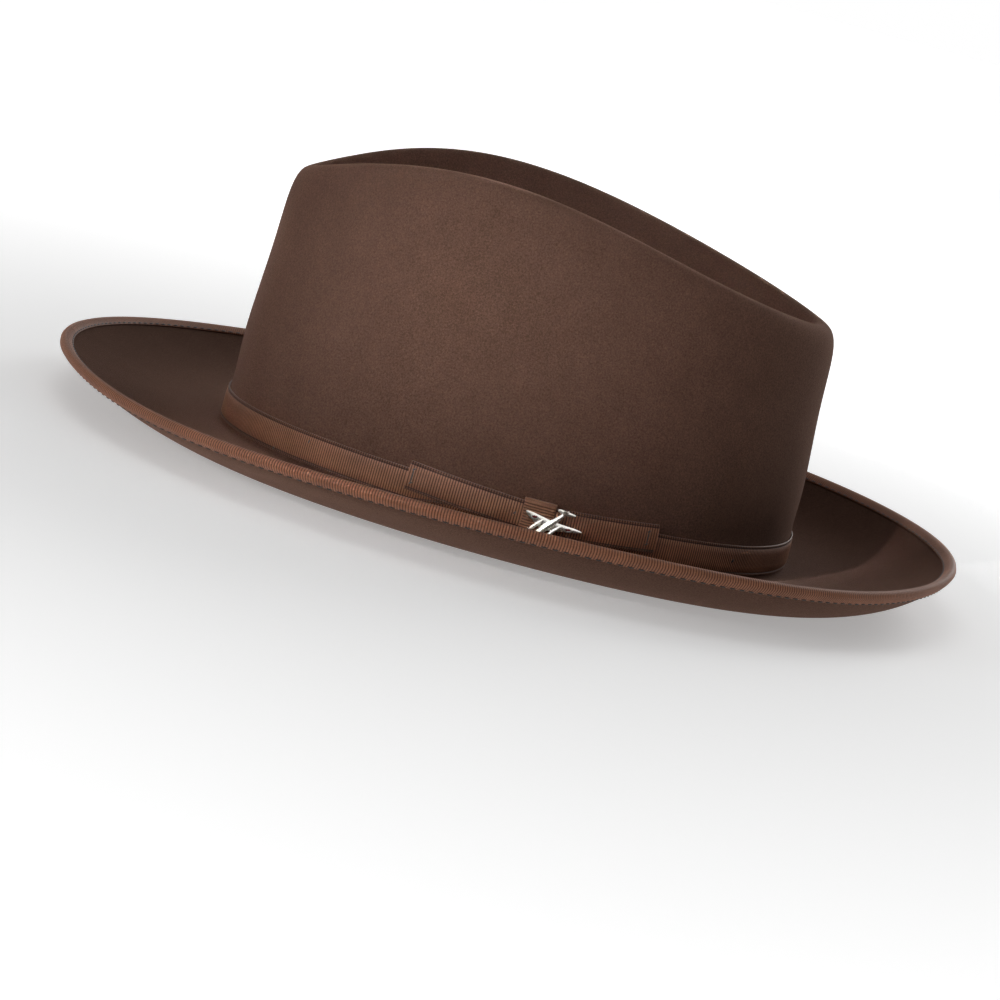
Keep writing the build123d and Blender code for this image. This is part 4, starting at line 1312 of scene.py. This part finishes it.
def make_light(name, spot, size, power, aim=(0.0, 0.0, 0.04), spread=180.0):
    data = bpy.data.lights.new(name, "AREA")
    data.shape = "RECTANGLE"
    data.size, data.size_y = size
    data.energy = power
    data.spread = math.radians(spread)
    light = bpy.data.objects.new(name, data)
    light.location = spot
    light.rotation_mode = "QUATERNION"
    light.rotation_quaternion = (Vector(spot) - Vector(aim)).to_track_quat("Z", "Y")
    bpy.context.scene.collection.objects.link(light)


def make_world():
    """White surroundings that light the hat softly."""
    world = bpy.data.worlds.new("studio")
    world.use_nodes = True
    tree = world.node_tree
    soft = tree.nodes["Background"]
    soft.inputs["Color"].default_value = (1.0, 1.0, 1.0, 1.0)
    soft.inputs["Strength"].default_value = 0.1
    white = tree.nodes.new("ShaderNodeBackground")
    white.inputs["Color"].default_value = (1.0, 1.0, 1.0, 1.0)
    white.inputs["Strength"].default_value = 1.0
    path = tree.nodes.new("ShaderNodeLightPath")
    either = tree.nodes.new("ShaderNodeMath")
    either.operation = "MAXIMUM"
    tree.links.new(path.outputs["Is Camera Ray"], either.inputs[0])
    tree.links.new(path.outputs["Is Glossy Ray"], either.inputs[1])
    choice = tree.nodes.new("ShaderNodeMixShader")
    tree.links.new(either.outputs["Value"], choice.inputs[0])
    tree.links.new(soft.outputs["Background"], choice.inputs[1])
    tree.links.new(white.outputs["Background"], choice.inputs[2])
    tree.links.new(choice.outputs["Shader"], tree.nodes["World Output"].inputs["Surface"])
    bpy.context.scene.world = world
    bpy.context.scene.view_settings.view_transform = "Standard"


make_camera()
make_world()
make_floor()
make_light("key", (0.92, -1.28, 0.3), (0.6, 0.6), 5.2)
make_light("gridded", (1.0, -0.6, 0.5), (0.12, 0.12), 0.062, (0.085, -0.045, 0.083), 9.0)
make_light("fill", (1.2, -0.7, 0.95), (0.8, 0.8), 0.6)
make_light("rear", (-1.3, 0.9, 0.7), (0.8, 0.8), 8.0)
make_light("top", (0.0, -0.3, 1.6), (1.0, 1.0), 3.0)

make_felt()
make_lining_tip()
make_lining_side()
make_binding()
make_binding_stitches("edge_stitches_top", "binding_thread_top", -AIR - RIBBON - 0.05, 1.0)
make_binding_stitches("edge_stitches_under", "binding_thread_under", FELT + AIR + RIBBON + 0.05, -1.0)
make_band()
make_band_tacks()
make_loop("bow_loop_front", "bow_front_loop", BOW_FRONT, LOOP_LIFT_FRONT)
make_loop("bow_loop_rear", "bow_rear_loop", BOW_REAR, LOOP_LIFT_REAR)
make_knot()
make_bow_tacks()
make_plane()
make_enamel()
make_leather()
make_leather_stitches()
make_reed_tape()
seam_tape = make_patch(
    "seam_tape", "sweatband_seam_tape", "tape", TAPE_LOOK,
    math.pi - math.radians(3), math.pi + math.radians(3), 9.0, 22.0, SWEATBAND_DEPTH, TAPE,
)
paper_tag = make_patch(
    "paper_tag", "size_tag", "paper", PAPER_LOOK,
    math.radians(200), math.radians(211), 9.0, 23.0, SWEATBAND_DEPTH, TAPE, 0.3,
)
make_small_bow()
dress_cad_nodes()
